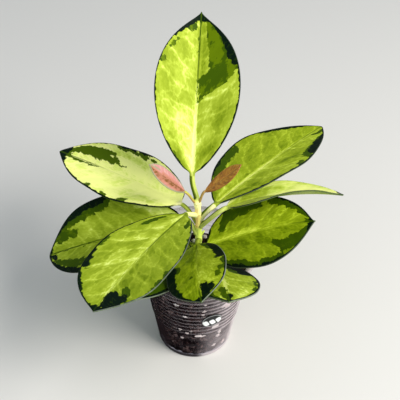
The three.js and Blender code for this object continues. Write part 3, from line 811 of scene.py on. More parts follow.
def stem_finish(look):
    """The stem: cream at the top joint, and below it pinkish cream on its right and a brownish
    painted shade on its left, then yellow-green down to bark, with lengthwise streaks and brown
    joint lines."""
    f = Finish("hoya_stem")
    x, level = f.upright()[::2]
    streak = f.noise(f.stretched(f.place(), (900.0, 900.0, 60.0)), 1.0, 3.0, 0.6)
    colour = f.ramp(
        (level - MIX_LEVEL) / (STEM_TOP - MIX_LEVEL) + streak * 0.08,
        (0.0, look.bark), (0.16, look.green), (0.36, look.yellow_green),
        (0.58, look.yellow_green), (0.65, look.pinkish), (0.76, look.pinkish),
        (0.82, look.cream), (0.93, look.cream), (1.0, look.yellow_green),
    )
    # Painted shade: the stem's left side under the top joint turns brownish.
    left = f.step(x + streak * 1.5, 1.2, 0.4)
    painted_shade_left = left * f.step(level, 89.5, 91.5) * f.step(level, 106.0, 103.5)
    colour = f.mix(painted_shade_left * 0.65, colour, look.tan)
    for joint in STEM_JOINTS:
        ring = f.step(abs(level - (joint + 0.6)) + streak * 1.5, 0.5, 0.15)
        colour = f.mix(ring * 0.5, colour, look.scar)
    # Painted light: the stem glows in its own colour, though it is no lamp.
    painted_glow = {"Emission Color": colour, "Emission Strength": look.painted_glow}
    return f.end(f.shader(colour, 0.5 + streak * 0.3, 0.3, (streak, 0.0004, 0.6), painted_glow))


def cup_finish(look):
    """Clear thin plastic. Its outer skin has a little haze, more on the rim and over the mix, with
    random patches. Light is painted on its right side: a whiter veil, pale lines along the ribs'
    crests that grow towards the right, and a pale veil on the walls seen edge-on there. Both
    skins show more at a slant, most on the right. Round the mix, the foot and the walls seen
    edge-on on the left are dark: the mix seen through the plastic, and painted shade there."""
    f = Finish("clear_ribbed_plastic")
    x, radius, level = f.upright()
    outer = f.step(radius - level * CUP_SLOPE, CUP_BASE_RADIUS - 0.6, CUP_BASE_RADIUS - 0.3)
    # Random scuffs that change the roughness and bump; the same noise also breaks up the painted
    # light on the right.
    wear_and_sheen = f.noise(f.place(), 160.0, 4.0, 0.6)
    turn = (level - RIB_START) * (2 * math.pi / RIB_PITCH)
    crest = f.step(f.math("COSINE", turn), 0.1, -0.7)
    above = f.step(level, RIB_START - 0.5, RIB_START + 1.0)
    ribbed = above * f.step(level, RIB_TOP, RIB_TOP - 1.0)
    over_mix = f.step(level, MIX_LEVEL - 1.0, MIX_LEVEL + 1.0)
    rim = f.step(level, CUP_HEIGHT - CUP_RIM_DEPTH - 0.6, CUP_HEIGHT - CUP_RIM_DEPTH + 0.4)
    facing = Number(f, f.add("ShaderNodeLayerWeight", None, {"Blend": 0.5}).outputs["Facing"])
    slant = facing * facing
    across = x / radius
    # Painted light on the right side: the first ramp strengthens the rib lines, the veil's noise
    # and the gloss from the left edge to the middle, and the second gives a whiter veil on the
    # right.
    wear_and_light = f.step(across, -1.0, 0.0)
    painted_light_side = f.step(across, -0.05, 0.65)
    # Painted highlights: pale lines on the ribs' crests, stronger to the right, and more veil on
    # the right under the ribs.
    crest_highlight = wear_and_light * 0.13 + painted_light_side * 0.16 + 0.03
    below = (1 - ribbed) * painted_light_side * 0.1
    body = crest * ribbed * crest_highlight + over_mix * 0.06 + rim * 0.25 + painted_light_side * 0.23 + below
    haze = body + wear_and_sheen * (wear_and_light * 0.1 + painted_light_side * 0.4 + 0.02)
    gloss = slant * slant * (wear_and_light * 0.05 + 0.01)
    filled = f.step(level, MIX_LEVEL, MIX_LEVEL - 2.0) * outer
    # Painted shade: the foot and the walls seen edge-on turn dark on the unlit left, where the dark
    # also stands for the mix seen through the plastic.
    foot = f.step(level, 4.2, 3.0)
    bent_and_shade = f.math("MAXIMUM", f.step(facing, 0.6, 0.7), foot) * filled
    edge = f.math("MAXIMUM", f.step(facing, 0.76, 0.9), foot) * filled
    # The side painted as lit, where the foot and edges stay pale.
    lit = f.step(across, 0.05, 0.3)
    clear = f.add("ShaderNodeBsdfTransparent", None, {"Color": look.tint}).outputs[0]
    skin = f.shader(look.haze_colour, 0.3 + wear_and_sheen * 0.15, 0.2, (wear_and_sheen, 0.0004, 0.3))
    # The edge term paints a pale highlight on the walls seen edge-on on the right.
    factor = f.math("MINIMUM", haze * outer + gloss + edge * lit * 0.45, 1.0)
    hazy = f.add("ShaderNodeMixShader", None, {0: factor, 1: clear, 2: skin}).outputs[0]
    # A dark matt sheet: partly the mix seen through the plastic, partly painted shade.
    seen = f.add("ShaderNodeBsdfDiffuse", None, {"Color": look.bent_and_shade_colour}).outputs[0]
    edges = {0: bent_and_shade * (1 - lit) * 0.9, 1: hazy, 2: seen}
    return f.end(f.add("ShaderNodeMixShader", None, edges).outputs[0])


def barks(f, value, look, places):
    """The mix's browns, from its gaps to dry bark, at places from 0 to 1."""
    colours = (look.black, look.dark, look.brown, look.reddish, look.grey)
    return f.ramp(value, *zip(places, colours))


def mix_finish(look):
    """Damp bark and coir: cells of several dark browns, and fine grit. The gaps between the cells
    are painted black as shade, and the top is painted darker towards the stem as shade."""
    f = Finish("potting_mix")
    radius, level = f.upright()[1:]
    chunk, gap = f.cells(f.warped(f.place(), 300.0, 0.003), 420.0)
    grit = f.noise(f.place(), 1400.0, 3.0, 0.65)
    colour = barks(f, chunk + grit * 0.5, look, (0.0, 0.35, 0.65, 0.86, 0.99))
    # Painted shade: the gaps between the cells go black.
    colour = f.mix(f.step(gap, 0.12, 0.0) * 0.85, colour, look.black)
    # Painted shade: the top near the stem goes dark.
    shaded = f.step(radius, 24.0, 12.0) * f.step(level, MIX_LEVEL - 4.0, MIX_LEVEL - 2.0)
    colour = f.mix(shaded * 0.7, colour, look.black)
    return f.end(f.shader(colour, 0.8 + grit * 0.3, 0.05, (gap + grit * 0.4, 0.0012, 0.8)))


def chip_finish(look):
    """Bark chips: each has its own brown, with lengthwise grain."""
    f = Finish("bark_chip")
    grain = f.noise(f.stretched(f.place(), (500.0, 500.0, 1600.0)), 1.0, 3.0, 0.6)
    colour = barks(f, f.split("own")[0] + grain * 0.5, look, (0.0, 0.4, 0.7, 0.9, 1.0))
    return f.end(f.shader(colour, 0.8 + grain * 0.3, 0.3, (grain, 0.0006, 0.8)))


def grain_finish(look):
    """Perlite: cream to faintly pink, with darker pores."""
    f = Finish("perlite")
    pore = f.noise(f.place(), 1300.0, 3.0, 0.6)
    colour = f.mix(f.split("own")[1], look.perlite, look.perlite_pink)
    colour = f.mix(f.step(pore, -0.08, -0.25) * 0.4, colour, look.grey)
    return f.end(f.shader(colour, 0.85 + pore * 0.2, 0.5, (pore, 0.0008, 0.8)))


def label_finish(look):
    """The sticker: black with a thin pale border and three blank rounded marks, each where
    the fourth powers of the shares of its half width and half height add up to under 1."""
    f = Finish("oval_label")
    x, y = f.split("oval")[:2]
    radius = f.math("SQRT", x * x + y * y)
    white = f.step(radius, 0.87, 0.9) * f.step(radius, 0.97, 0.94) * 0.45
    for place in MARK_PLACES:
        level = y + MARK_DROP + MARK_SLOPE * place
        wide = f.math("POWER", abs(x - place) / MARK_HALF_WIDTH, 4.0)
        tall = f.math("POWER", abs(level) / MARK_HALF_HEIGHT, 4.0)
        white = white + f.step(wide + tall, 1.15, 0.85)
    scuff = f.noise(f.place(), 900.0, 3.0, 0.6)
    colour = f.mix(f.math("MINIMUM", white, 1.0), look.ink, look.paper)
    return f.end(f.shader(colour, 0.34 + scuff * 0.25, 0.15, (scuff, 0.0001, 0.4)))


def floor_finish(colour):
    """A plain, nearly matt floor."""
    f = Finish("pale_floor")
    return f.end(f.shader(colour, 0.6 + f.noise(f.place(), 60.0, 3.0, 0.5) * 0.1, 0.25))


def stem_point(z):
    """The stem's middle line: it bows to +X by half a sine between the mix and the tip."""
    share = np.clip((z - MIX_LEVEL) / (STEM_TOP - STEM_TIP_LENGTH - MIX_LEVEL), 0, 1)
    return np.stack([STEM_BOW * np.sin(math.pi * share), 0 * share, z + 0 * share], -1)


def stem_radius(z):
    """The stem's radius: it swells by a bell at each joint and closes at the tip."""
    swelling = sum(bump(z - joint, STEM_JOINT_REACH) for joint in STEM_JOINTS)
    closing = 1 - STEM_TIP_CLOSING * smooth(STEM_TOP - STEM_TIP_LENGTH, STEM_TOP, z)
    return (STEM_RADIUS + STEM_JOINT_RADIUS * np.minimum(swelling, 1)) * closing


def wall_radius(z):
    """The cup's outer radius at a height, without its ribs."""
    return CUP_BASE_RADIUS + CUP_SLOPE * z


def mix_radius(z):
    """The mix's radius at a height: the cup's inside, less a gap."""
    return wall_radius(z) - CUP_WALL - MIX_GAP


def outline(share, widest, leaf):
    """A blade's half width as a share of its greatest: a power of the share times a power of
    what is left, drawn in towards the tip by an exponential."""
    power = leaf["fullness"] * (1 - widest) / widest
    peak = widest ** leaf["fullness"] * (1 - widest) ** power
    body = share ** leaf["fullness"] * (1 - share) ** power / peak
    return body * (1 - leaf["drawn"] * np.exp(-(1 - share) / BLADE_DRAWN_TIP))


def blade_line(leaf, share):
    """The blade's middle line with its forward, side and upward directions. It starts along
    the heading, turns down by the droop and sideways by the sway, and its points add up the
    mean of the forward directions at both ends of each step."""
    heading = math.radians(leaf["heading"])
    forward = heading_vector(leaf["heading"], leaf["rise"])
    level = np.array([math.sin(heading), -math.cos(heading), 0.0])
    over = np.cross(level, forward)
    tilt = math.radians(leaf["tilt"])
    side = level * math.cos(tilt) + over * math.sin(tilt)
    up = over * math.cos(tilt) - level * math.sin(tilt)
    s = share[:, None]
    droop = math.radians(leaf["droop"]) * s ** leaf["droop_power"]
    sway = math.radians(leaf["sway"]) * s
    twist = math.radians(leaf["twist"]) * s
    ahead = forward * np.cos(sway) + side * np.sin(sway)
    tangent = ahead * np.cos(droop) - up * np.sin(droop)
    across = side * np.cos(sway) - forward * np.sin(sway)
    normal = np.cross(across, tangent)
    steps = (tangent[1:] + tangent[:-1]) / 2 * np.diff(share)[:, None] * leaf["length"]
    points = np.concatenate([np.zeros((1, 3)), np.cumsum(steps, 0)]) + leaf["base"]
    turned = across * np.cos(twist) + normal * np.sin(twist)
    return points, tangent, turned, normal * np.cos(twist) - across * np.sin(twist)


def petiole_line(leaf, first, tangent, side):
    """The stalk's middle line: a cubic curve from the stem's middle to the blade's first
    point, without the part that lies inside the stem."""
    start = stem_point(np.array(float(leaf["joint"])))
    reach = np.linalg.norm(first - start) * leaf["pull"]
    towards = unit((first - start) * (1, 1, 0)) + heading_vector(leaf["heading"], 0)
    heading = math.degrees(math.atan2(towards[1], towards[0])) + leaf["turn"]
    second = start + heading_vector(heading, leaf["leaving"]) * reach
    third = first - tangent * reach
    t = np.linspace(0, 1, PETIOLE_STEPS)[:, None]
    line = start * (1 - t) ** 3 + 3 * second * t * (1 - t) ** 2
    line = line + 3 * third * t**2 * (1 - t) + first * t**3
    away = np.linalg.norm((line - stem_point(line[:, 2]))[:, :2], axis=1)
    outside = line[np.argmax(away > stem_radius(line[:, 2]) - PETIOLE_OVERLAP):]
    length = np.concatenate([[0], np.cumsum(np.linalg.norm(np.diff(outside, axis=0), axis=1))])
    wanted = np.linspace(0, length[-1], PETIOLE_ROWS + 1)
    points = np.stack([np.interp(wanted, length, outside[:, k]) for k in range(3)], -1)
    forward = unit(np.gradient(points, axis=0))
    across = unit(side - forward * (forward @ side)[:, None])
    up = np.cross(across, forward)
    return points[:-1], across[:-1], up[:-1], wanted[:-1], length[-1]


def stroke_depth(x, y, strokes, leaf):
    """How deep a point lies inside the nearest of several tapered strokes, in mm and negative
    outside: the stroke's radius at the nearest place on its middle line, less the distance."""
    depth = np.full(np.broadcast(x, y).shape, -30.0)
    for share_1, offset_1, share_2, offset_2, radius_1, radius_2 in strokes:
        ax, bx = share_1 * leaf["length"], share_2 * leaf["length"]
        ay, by = offset_1 * leaf["width"] / 2, offset_2 * leaf["width"] / 2
        long = max((bx - ax) ** 2 + (by - ay) ** 2, 1e-6)
        t = np.clip(((x - ax) * (bx - ax) + (y - ay) * (by - ay)) / long, 0, 1)
        away = np.hypot(x - ax - t * (bx - ax), y - ay - t * (by - ay))
        depth = np.maximum(depth, radius_1 + t * (radius_2 - radius_1) - away)
    return depth


def tube_rings(points, side, up, radius, offset, face):
    """A stalk's rings: circles with a shallow channel along the top."""
    channel = 1 - PETIOLE_CHANNEL * bump(face - 1, 0.25)
    x = radius[:, None] * offset
    y = radius[:, None] * face * channel
    return points[:, None] + side[:, None] * x[..., None] + up[:, None] * y[..., None]


def across_rib(pair, offset, reach):
    """The left value of a pair, the right one, and a smooth step over a reach between."""
    left, right = pair
    return left + (right - left) * smooth(-reach, reach, offset)


def leaf_rings(leaf, seed):
    """A leaf as a stack of rings from the stem to the tip, with its pattern's values.

    On the blade a point at share s and offset v, from -1 at the left edge to 1 at the right,
    is the middle line's point plus the side direction times v times the half width, plus the
    upward direction times the fold's rise, the edge's wave, the quilting between the veins
    and half the thickness, which rounds off at the edges and at the tip. A groove runs along
    the midrib above and a keel below. Near its base the blade blends into the stalk."""
    spans = zip((0.0, *BLADE_ENDS), (*BLADE_ENDS, 1.0), BLADE_ROWS, (False, False, True))
    share = np.concatenate([np.linspace(*span[:3], endpoint=span[3]) for span in spans])
    angle = math.pi - turns(BLADE_COLUMNS)
    offset = np.cos(angle)[None, :]
    face = np.sin(angle)[None, :]
    right = np.where(offset >= 0, 1.0, -1.0)
    points, tangent, side, up = blade_line(leaf, share)
    s = share[:, None]

    end_room = np.clip((1 - s) * leaf["length"] / BLADE_TIP_CLOSING, 0, 1)
    closing = np.sqrt(end_room * (2 - end_room))
    half = leaf["width"] / 2 * (1 + right * leaf["lopsided"])
    reach = half * outline(s, leaf["widest"] + right * leaf["skew"], leaf)
    reach = np.maximum(reach, BLADE_MIN_HALF_WIDTH) * np.maximum(closing, 0.05)
    away = reach * np.abs(offset)
    rim = reach - away
    fold = math.radians(leaf["fold"])
    wave_share = outline(s, leaf["widest"], leaf) * offset**2
    wave = leaf["wave"] * wave_share * np.sin(2 * math.pi * (leaf["waves"] * s + right / 4))

    along = s * leaf["length"] + 0 * offset
    slant = along - VEIN_SLOPE * away
    sway = 0.16 * np.sin(along * 0.11 + seed * 2.1)
    sway = sway + 0.1 * np.sin(away * 0.3 + along * 0.07 + seed)
    vein = slant / VEIN_SPACING + VEIN_STAGGER * right + sway
    between = np.abs((vein % 1) - 0.5) * 2
    inner = smooth(0.5, 5, rim) * smooth(0.5, 4, away)
    quilt = QUILTING * (smooth(0, 0.7, between) - 0.5) * inner
    groove = MIDRIB_GROOVE * bump(away, MIDRIB_GROOVE_REACH) * (1 - 0.7 * s)
    keel = MIDRIB_RELIEF * (1 - s) * bump(away, MIDRIB_REACH)
    thickness = leaf["thickness"] * (1 - BLADE_THINNING * np.abs(offset))
    round_off = np.sqrt(np.clip(1 - (1 - np.clip(rim / (thickness / 2), 0, 1)) ** 2, 0, 1))
    half_thickness = thickness / 2 * round_off * np.maximum(closing, 0.05)
    middle = math.sin(fold) * (np.hypot(away, BLADE_SOFT_FOLD) - BLADE_SOFT_FOLD) + wave + quilt
    height = middle + np.where(face >= 0, half_thickness - groove, -half_thickness - keel)
    blade = points[:, None] + side[:, None] * (offset * reach * math.cos(fold))[..., None]
    blade = blade + up[:, None] * height[..., None]

    radius = leaf["petiole"]
    merge = smooth(0, BLADE_MERGE, s)
    ring = tube_rings(points, side, up, np.full(len(share), radius), offset, face)
    blade = ring * (1 - merge[..., None]) + blade * merge[..., None]
    line, line_side, line_up, run, length = petiole_line(leaf, points[0], tangent[0], side[0])
    flared = radius * (1 + PETIOLE_FLARE * np.exp(-run / PETIOLE_FLARE_REACH))
    rings = np.concatenate([tube_rings(line, line_side, line_up, flared, offset, face), blade])

    chart_y = offset * leaf["width"] / 2 + 0 * s
    tones = across_rib(leaf["tones"], offset * reach, TONE_REACH)
    for strokes, way in (("pale", -1), ("dull", 1)):
        depth = stroke_depth(along, chart_y, leaf[strokes], leaf)
        tones = tones + way * leaf["lift"] * smooth(-leaf["soft"], leaf["soft"], depth)
    margin = MARGIN_SHARPNESS * (np.where(offset < 0, *leaf["margins"]) - rim)
    tip = (s - leaf["tip"]) * leaf["length"] * TIP_SHARPNESS + 0 * offset
    black = np.maximum(stroke_depth(along, chart_y, leaf["black"], leaf), margin)
    black = np.maximum(black, tip)
    green = stroke_depth(along, chart_y, leaf["green"], leaf)
    green = np.maximum(green, black + GREEN_FRINGE)
    rib_dark = np.interp(s, *np.transpose(leaf["rib_dark"]))
    # How much painted highlight each half's thin edge gets
    rim_highlights = np.where(offset < 0, *leaf["rim_highlights"])

    def both(on_stalk, on_blade):
        """Three values a point, first on the stalk and then on the blade."""
        spread = zip((len(run), len(share)), (on_stalk, on_blade))
        return np.concatenate([
            np.stack([np.broadcast_to(a, (rows, BLADE_COLUMNS)) for a in three], -1)
            for rows, three in spread
        ])

    before = (run - length)[:, None]
    stalk_away = flared[:, None] * np.abs(offset)
    apart = seed * LEAF_APART + HALF_APART * np.tanh(offset * reach / TONE_REACH)
    stalk_apart = seed * LEAF_APART + HALF_APART * offset
    # The stalk's two tones, which also paint shade on some stalks: a darker left and a lit right.
    stalk_tones_and_shade = across_rib(leaf["stalk"], offset, STALK_TONE_REACH)
    habit = (leaf["veins"], leaf["rib_pale"], leaf["light_green"])
    return rings, {
        "veinwise": both((before - stalk_away, stalk_away, stalk_apart), (slant, away, apart)),
        "pigment": both((-9, -9, 0), (green, black, rib_dark)),
        "rib": both((flared[:, None] * offset, 0, 2), (offset * reach, vein, rim)),
        "place": both((face, 0, stalk_tones_and_shade), (face, merge, tones)),
        "habit": both(habit, habit),
        "edge": both((0, 0, 0), (rim_highlights, leaf["vivid"], 0)),
    }


def make_leaf(name, leaf, material, slot, seed):
    """A leaf with its stalk. The seed keeps its veins and clouds apart from the others'."""
    rings, values = leaf_rings({**LEAF_SHAPE, **LEAF_PATTERN, **leaf}, seed)
    return ring_piece(name + "_veined", [rings], material, slot, name, values)


def make_cup(material, rib_depth, slot):
    """The cup: its profile runs out along the floor, round the foot, up the ribbed wall, over
    the rolled rim and down the inside, and is carried round Z. A rib's height over the wall
    is half its depth times one less the cosine of its share of the pitch."""
    foot = CUP_FOOT_ROUND
    z = np.concatenate([
        np.linspace(foot + CUP_FOOT_STEP, RIB_START, 12, endpoint=False),
        np.linspace(RIB_START, RIB_TOP, RIB_COUNT * RIB_STEPS, endpoint=False),
        np.linspace(RIB_TOP, CUP_HEIGHT - CUP_RIM_DEPTH - CUP_NECK, 5),
    ])
    started = smooth(RIB_START - RIB_FADE, RIB_START + RIB_FADE, z)
    ribbed = started * smooth(RIB_TOP, RIB_TOP - RIB_FADE, z)
    ridge = rib_depth * (1 - np.cos(2 * math.pi * (z - RIB_START) / RIB_PITCH)) / 2 * ribbed
    roll = CUP_RIM_DEPTH / 2
    floor = CUP_FLOOR + CUP_INNER_ROUND
    inner = np.linspace(CUP_HEIGHT - CUP_LIP, floor, 14)
    turn = wall_radius(floor) - CUP_WALL - CUP_INNER_ROUND
    profile = np.concatenate([
        [[CUP_MIDDLE, 0.0], [CUP_BASE_RADIUS - foot - CUP_FOOT_REACH, 0.0]],
        arc((wall_radius(foot) - foot, foot), foot, -90, 0, 12),
        np.stack([wall_radius(z) + ridge, z], -1),
        arc((CUP_RIM_RADIUS - roll, CUP_HEIGHT - roll), roll, -80, 90, 14),
        np.stack([wall_radius(inner) - CUP_WALL, inner], -1),
        arc((turn, floor), CUP_INNER_ROUND, -10, -90, 6),
        [[CUP_MIDDLE, CUP_FLOOR]],
    ])
    rings = turned_rings(profile, CUP_COLUMNS)
    return ring_piece("cup_ribbed", [rings], material, slot, "cup")


def mix_top(x, y):
    """The height of the mix's top: the solid's lumps, flattened towards the wall, with finer
    random ones on them."""
    radius = np.hypot(x, y)
    angle = np.arctan2(y, x)
    rim = mix_radius(MIX_LEVEL)
    lumps = np.sin(radius * 0.55 + 3 * angle) * np.cos(radius * 0.31 - 5 * angle)
    lumps = lumps + 0.6 * np.sin(radius * 0.9 - 2 * angle)
    width, seed, height = MIX_FINE_LUMPS
    fine = ripple(np.stack([x, y, 0 * x], -1), width, seed) * height
    return MIX_LEVEL + (MIX_LUMP * lumps + fine) * (1 - smooth(rim - MIX_EDGE, rim, radius))


def make_mix(material, slot):
    """The potting mix: a wall that follows the cup inside with random pits, and a lumpy top."""
    bottom = CUP_FLOOR + MIX_GAP
    foot = bottom + CUP_INNER_ROUND
    z = np.concatenate([[bottom, foot], np.linspace(foot + MIX_FOOT_STEP, MIX_LEVEL, MIX_ROWS)])
    radius = mix_radius(z)
    radius[0] -= CUP_INNER_ROUND
    side = turned_rings(np.stack([radius, z], -1), MIX_COLUMNS)
    pits = sum(np.clip(ripple(side, size, seed), 0, 2) * depth for size, seed, depth in MIX_PITS)
    side[..., :2] *= (1 - pits / radius[:, None])[..., None]
    inner = np.linspace(radius[-1], MIX_MIDDLE, MIX_TOP_ROWS)[1:]
    top = turned_rings(np.stack([inner, 0 * inner], -1), MIX_COLUMNS)
    top[..., 2] = mix_top(top[..., 0], top[..., 1])
    rings = np.concatenate([side, top])
    return ring_piece("potting_mix", [rings], material, slot, "soil")


def lump_shape():
    """The points and faces of a ball of radius 1 with faces of like size."""
    ball = bpy.data.meshes.new("ball")
    work = bmesh.new()
    bmesh.ops.create_icosphere(work, subdivisions=2, radius=1.0)
    work.to_mesh(ball)
    work.free()
    points = np.array([v.co for v in ball.vertices])
    faces = np.array([p.vertices[:] for p in ball.polygons])
    bpy.data.meshes.remove(ball)
    return points, faces


def make_lumps(name, centres, sizes, axes, own, roughness, seed, material, slot):
    """Small closed lumps in one mesh. Each is a ball whose points move in and out at random,
    times its three sizes along its three axes, about its centre."""
    rng = np.random.default_rng(seed)
    points, faces = lump_shape()
    count = len(centres)
    moved = points[None] * (1 + roughness * rng.uniform(-1, 1, (count, len(points), 1)))
    moved = moved * sizes[:, None, :]
    vertices = centres[:, None] + np.einsum("nki,nij->nkj", moved, axes)
    each = np.arange(count)[:, None, None] * len(points)
    all_faces = (faces[None] + each).reshape(-1, 3).tolist()
    values = {"own": np.repeat(own, len(points), axis=0)}
    return new_piece(name, vertices.reshape(-1, 3), all_faces, material, slot, (), values, True)


def random_axes(rng, count):
    """Three random axes at right angles for each lump, right-handed."""
    first = unit(rng.normal(size=(count, 3)))
    second = unit(np.cross(first, rng.normal(size=(count, 3))))
    return np.stack([first, second, np.cross(first, second)], 1)


def wall_axes(angle):
    """Axes along the leaning wall, up it and out of it, at angles round Z."""
    along = np.stack([-np.sin(angle), np.cos(angle), 0 * angle], -1)
    lean = CUP_SLOPE * np.stack([np.cos(angle), np.sin(angle), 0 * angle], -1)
    up = unit(lean + (0.0, 0.0, 1.0))
    return np.stack([along, up, np.cross(along, up)], 1)


def on_wall(angle, level, depth):
    """Points at a depth inside the cup's inner wall."""
    radius = mix_radius(level) - depth
    return np.stack([radius * np.cos(angle), radius * np.sin(angle), level], -1)


def scattered(rng, angle, level, depth, sizes, loose, count):
    """The centres, sizes and axes of lumps against the wall, and of a count of loose ones on
    top of the mix, spread evenly there by the square root of their draw."""
    reach = wall_radius(MIX_LEVEL) - LOOSE_MARGIN
    radius = np.sqrt(rng.uniform(loose["nearest"], 1, count)) * reach
    turn = rng.uniform(0, 2 * math.pi, count)
    x, y = radius * np.cos(turn), radius * np.sin(turn)
    above = np.stack([x, y, mix_top(x, y) + loose["lift"]], -1)
    centres = np.concatenate([on_wall(angle, level, depth), above])
    sizes = np.concatenate([sizes, rng.uniform(loose["least"], loose["most"], (count, 3))])
    return centres, sizes, np.concatenate([wall_axes(angle), random_axes(rng, count)])


def make_perlite(material, count, seed, slot):
    """Pale grains: the placed ones and random ones against the wall, and some on top."""
    rng = np.random.default_rng(seed)
    drawn = np.stack([rng.uniform(low, high, count) for low, high in GRAIN_RANGES], -1)
    placed = np.array(WALL_GRAINS, float)
    placed[:, 0] = np.radians(placed[:, 0])
    angle, level, width, height, pink = np.concatenate([placed, drawn]).T
    sizes = np.stack([width / 2, height / 2, GRAIN_THICKNESS + 0 * width], -1)
    top = count // 2
    lumps = scattered(rng, angle, level, GRAIN_DEPTH, sizes, LOOSE_GRAINS, top)
    shade = rng.uniform(0, 1, len(lumps[0]))
    own = np.stack([shade, np.append(pink, rng.uniform(0, LOOSE_PINK, top)), 0 * shade], -1)
    return make_lumps("perlite", *lumps, own, GRAIN_ROUGHNESS, seed + 1, material, slot)


def make_chips(material, count, seed, slot):
    """Bark chips: flat ones against the wall, and others lying about on top."""
    rng = np.random.default_rng(seed)
    angle = rng.uniform(0, 2 * math.pi, count)
    level = rng.uniform(*CHIP_LEVELS, count)
    sizes = np.stack([rng.uniform(low, high, count) for low, high in CHIP_SIZES], -1)
    depth = sizes[:, 2] * CHIP_DEPTH
    lumps = scattered(rng, angle, level, depth, sizes, LOOSE_CHIPS, count // 2)
    own = np.stack([rng.uniform(0, 1, len(lumps[0]))] * 3, -1)
    return make_lumps("bark_chips", *lumps, own, CHIP_ROUGHNESS, seed + 1, material, slot)


def make_stem(material, slot):
    """The stem as rings about its middle line, and the bare side stalk as a tapered tube."""
    angle = turns(STEM_COLUMNS)
    z = np.linspace(STEM_BOTTOM, STEM_TOP, STEM_ROWS)
    circle = np.stack([np.cos(angle), np.sin(angle), 0 * angle], -1)
    radius = stem_radius(z) * rounded(STEM_TOP - z, STEM_ROUND)
    stem = stem_point(z)[:, None] + radius[:, None, None] * circle
    forward = heading_vector(STUB_HEADING, STUB_RISE)
    side = unit(np.cross(forward, (0.0, 1.0, 0.0)))
    up = np.cross(side, forward)
    circle = side * np.cos(angle)[:, None] + up * np.sin(angle)[:, None]
    t = np.linspace(0, STUB_REACH, STUB_ROWS)
    taper = 1 - STUB_TAPER * t / STUB_REACH
    radius = STUB_RADIUS * taper * rounded(STUB_REACH - t, STUB_ROUND)
    line = stem_point(np.array(STUB_JOINT)) + forward * t[:, None, None]
    stub = line + radius[:, None, None] * circle
    return ring_piece("stem_jointed", [stem, stub], material, slot, "stem")


def make_label(material, slot):
    """The sticker: an oval grid of radius shares and angles, laid round the wall and turned
    out of level, with a front, a rounded edge and a back."""
    thick = LABEL_THICKNESS
    front = [(rho, thick) for rho in np.linspace(0.03, 0.97, LABEL_FRONT_ROWS)]
    edge = [(0.99, thick * 0.85), (1.0, thick * 0.5), (0.99, thick * 0.15)]
    back = [(rho, 0.0) for rho in np.linspace(0.97, 0.03, LABEL_BACK_ROWS)]
    share, height = np.array(front + edge + back).T[..., None]
    angle = turns(LABEL_COLUMNS)
    oval = np.stack([share * np.cos(angle), share * np.sin(angle), height + 0 * angle], -1)
    x = oval[..., 0] * LABEL_LENGTH / 2
    y = oval[..., 1] * LABEL_HEIGHT / 2
    turn = math.radians(LABEL_TURN)
    along = x * math.cos(turn) - y * math.sin(turn)
    z = LABEL_LEVEL + x * math.sin(turn) + y * math.cos(turn)
    radius = wall_radius(z) + LABEL_LIFT + height
    a = math.radians(LABEL_HEADING) + along / wall_radius(LABEL_LEVEL)
    rings = np.stack([radius * np.cos(a), radius * np.sin(a), z], -1)
    return ring_piece("label_oval", [rings], material, slot, "label", {"oval": oval})


def paint(name, description, default):
    """A colour that a user can change."""
    return FloatVectorProperty(
        name=name, description=description, default=default, subtype="COLOR", size=3, min=0, max=1
    )


class HoyaLeafLook(bpy.types.PropertyGroup):
    """Colours of the grown leaves."""

    cream: paint("Cream", "Palest ground of the blade", (0.93, 0.98, 0.34))
    pale: paint("Pale lime", "Pale ground of the blade", (0.72, 0.85, 0.17))
    lime: paint("Lime", "Light ground of the blade", (0.48, 0.60, 0.055))
    olive_lime: paint("Olive lime", "Usual ground of the blade", (0.33, 0.43, 0.024))
    olive: paint("Olive", "Shaded ground of the blade", (0.235, 0.325, 0.012))
    deep: paint("Deep olive", "Darkest ground of the blade", (0.13, 0.20, 0.003))
    green: paint("Green", "Green pigment", (0.045, 0.092, 0.0008))
    green_light: paint("Light green", "Thin green pigment", (0.115, 0.185, 0.001))
    black: paint("Black green", "Dense pigment at the margin", (0.002, 0.009, 0.004))
    # Colour of the painted highlight along the blade's thin edge
    rim: paint("Rim", "The blade's thin edge", (0.46, 0.52, 0.44))
    under: paint("Underside", "Underside of the blade", (0.15, 0.23, 0.04))
    stalk_cream: paint("Cream stalk", "Palest stalk", (0.90, 0.88, 0.42))
    stalk_lime: paint("Lime stalk", "Light stalk", (0.60, 0.70, 0.14))
    stalk_olive: paint("Olive stalk", "Usual stalk", (0.30, 0.38, 0.035))
    stalk_green: paint("Green stalk", "Dull stalk", (0.13, 0.19, 0.012))
    stalk_dark: paint("Dark stalk", "Darkest stalk", (0.045, 0.085, 0.004))


class HoyaYoungLook(bpy.types.PropertyGroup):
    """Colours of the two young leaves."""

    blush: paint("Blush", "Palest pink", (0.66, 0.45, 0.43))
    pink: paint("Pink", "Usual pink", (0.56, 0.235, 0.235))
    salmon: paint("Salmon", "Orange pink", (0.52, 0.215, 0.15))
    rust: paint("Rust", "Brown pink by the midrib", (0.46, 0.18, 0.13))
    umber: paint("Umber", "Darkest brown", (0.20, 0.08, 0.02))
    sage: paint("Sage", "Green towards the pink leaf's tip", (0.25, 0.33, 0.18))
    copper: paint("Copper", "Usual copper", (0.46, 0.17, 0.03))
    amber: paint("Amber", "Lightest copper", (0.62, 0.34, 0.06))
    stalk_yellow: paint("Yellow stalk", "Stalk of the pink leaf", (0.52, 0.54, 0.06))
    stalk_orange: paint("Orange stalk", "Warm side of the stalks", (0.58, 0.36, 0.12))
    stalk_tan: paint("Tan stalk", "Dull side of the stalks", (0.30, 0.20, 0.06))


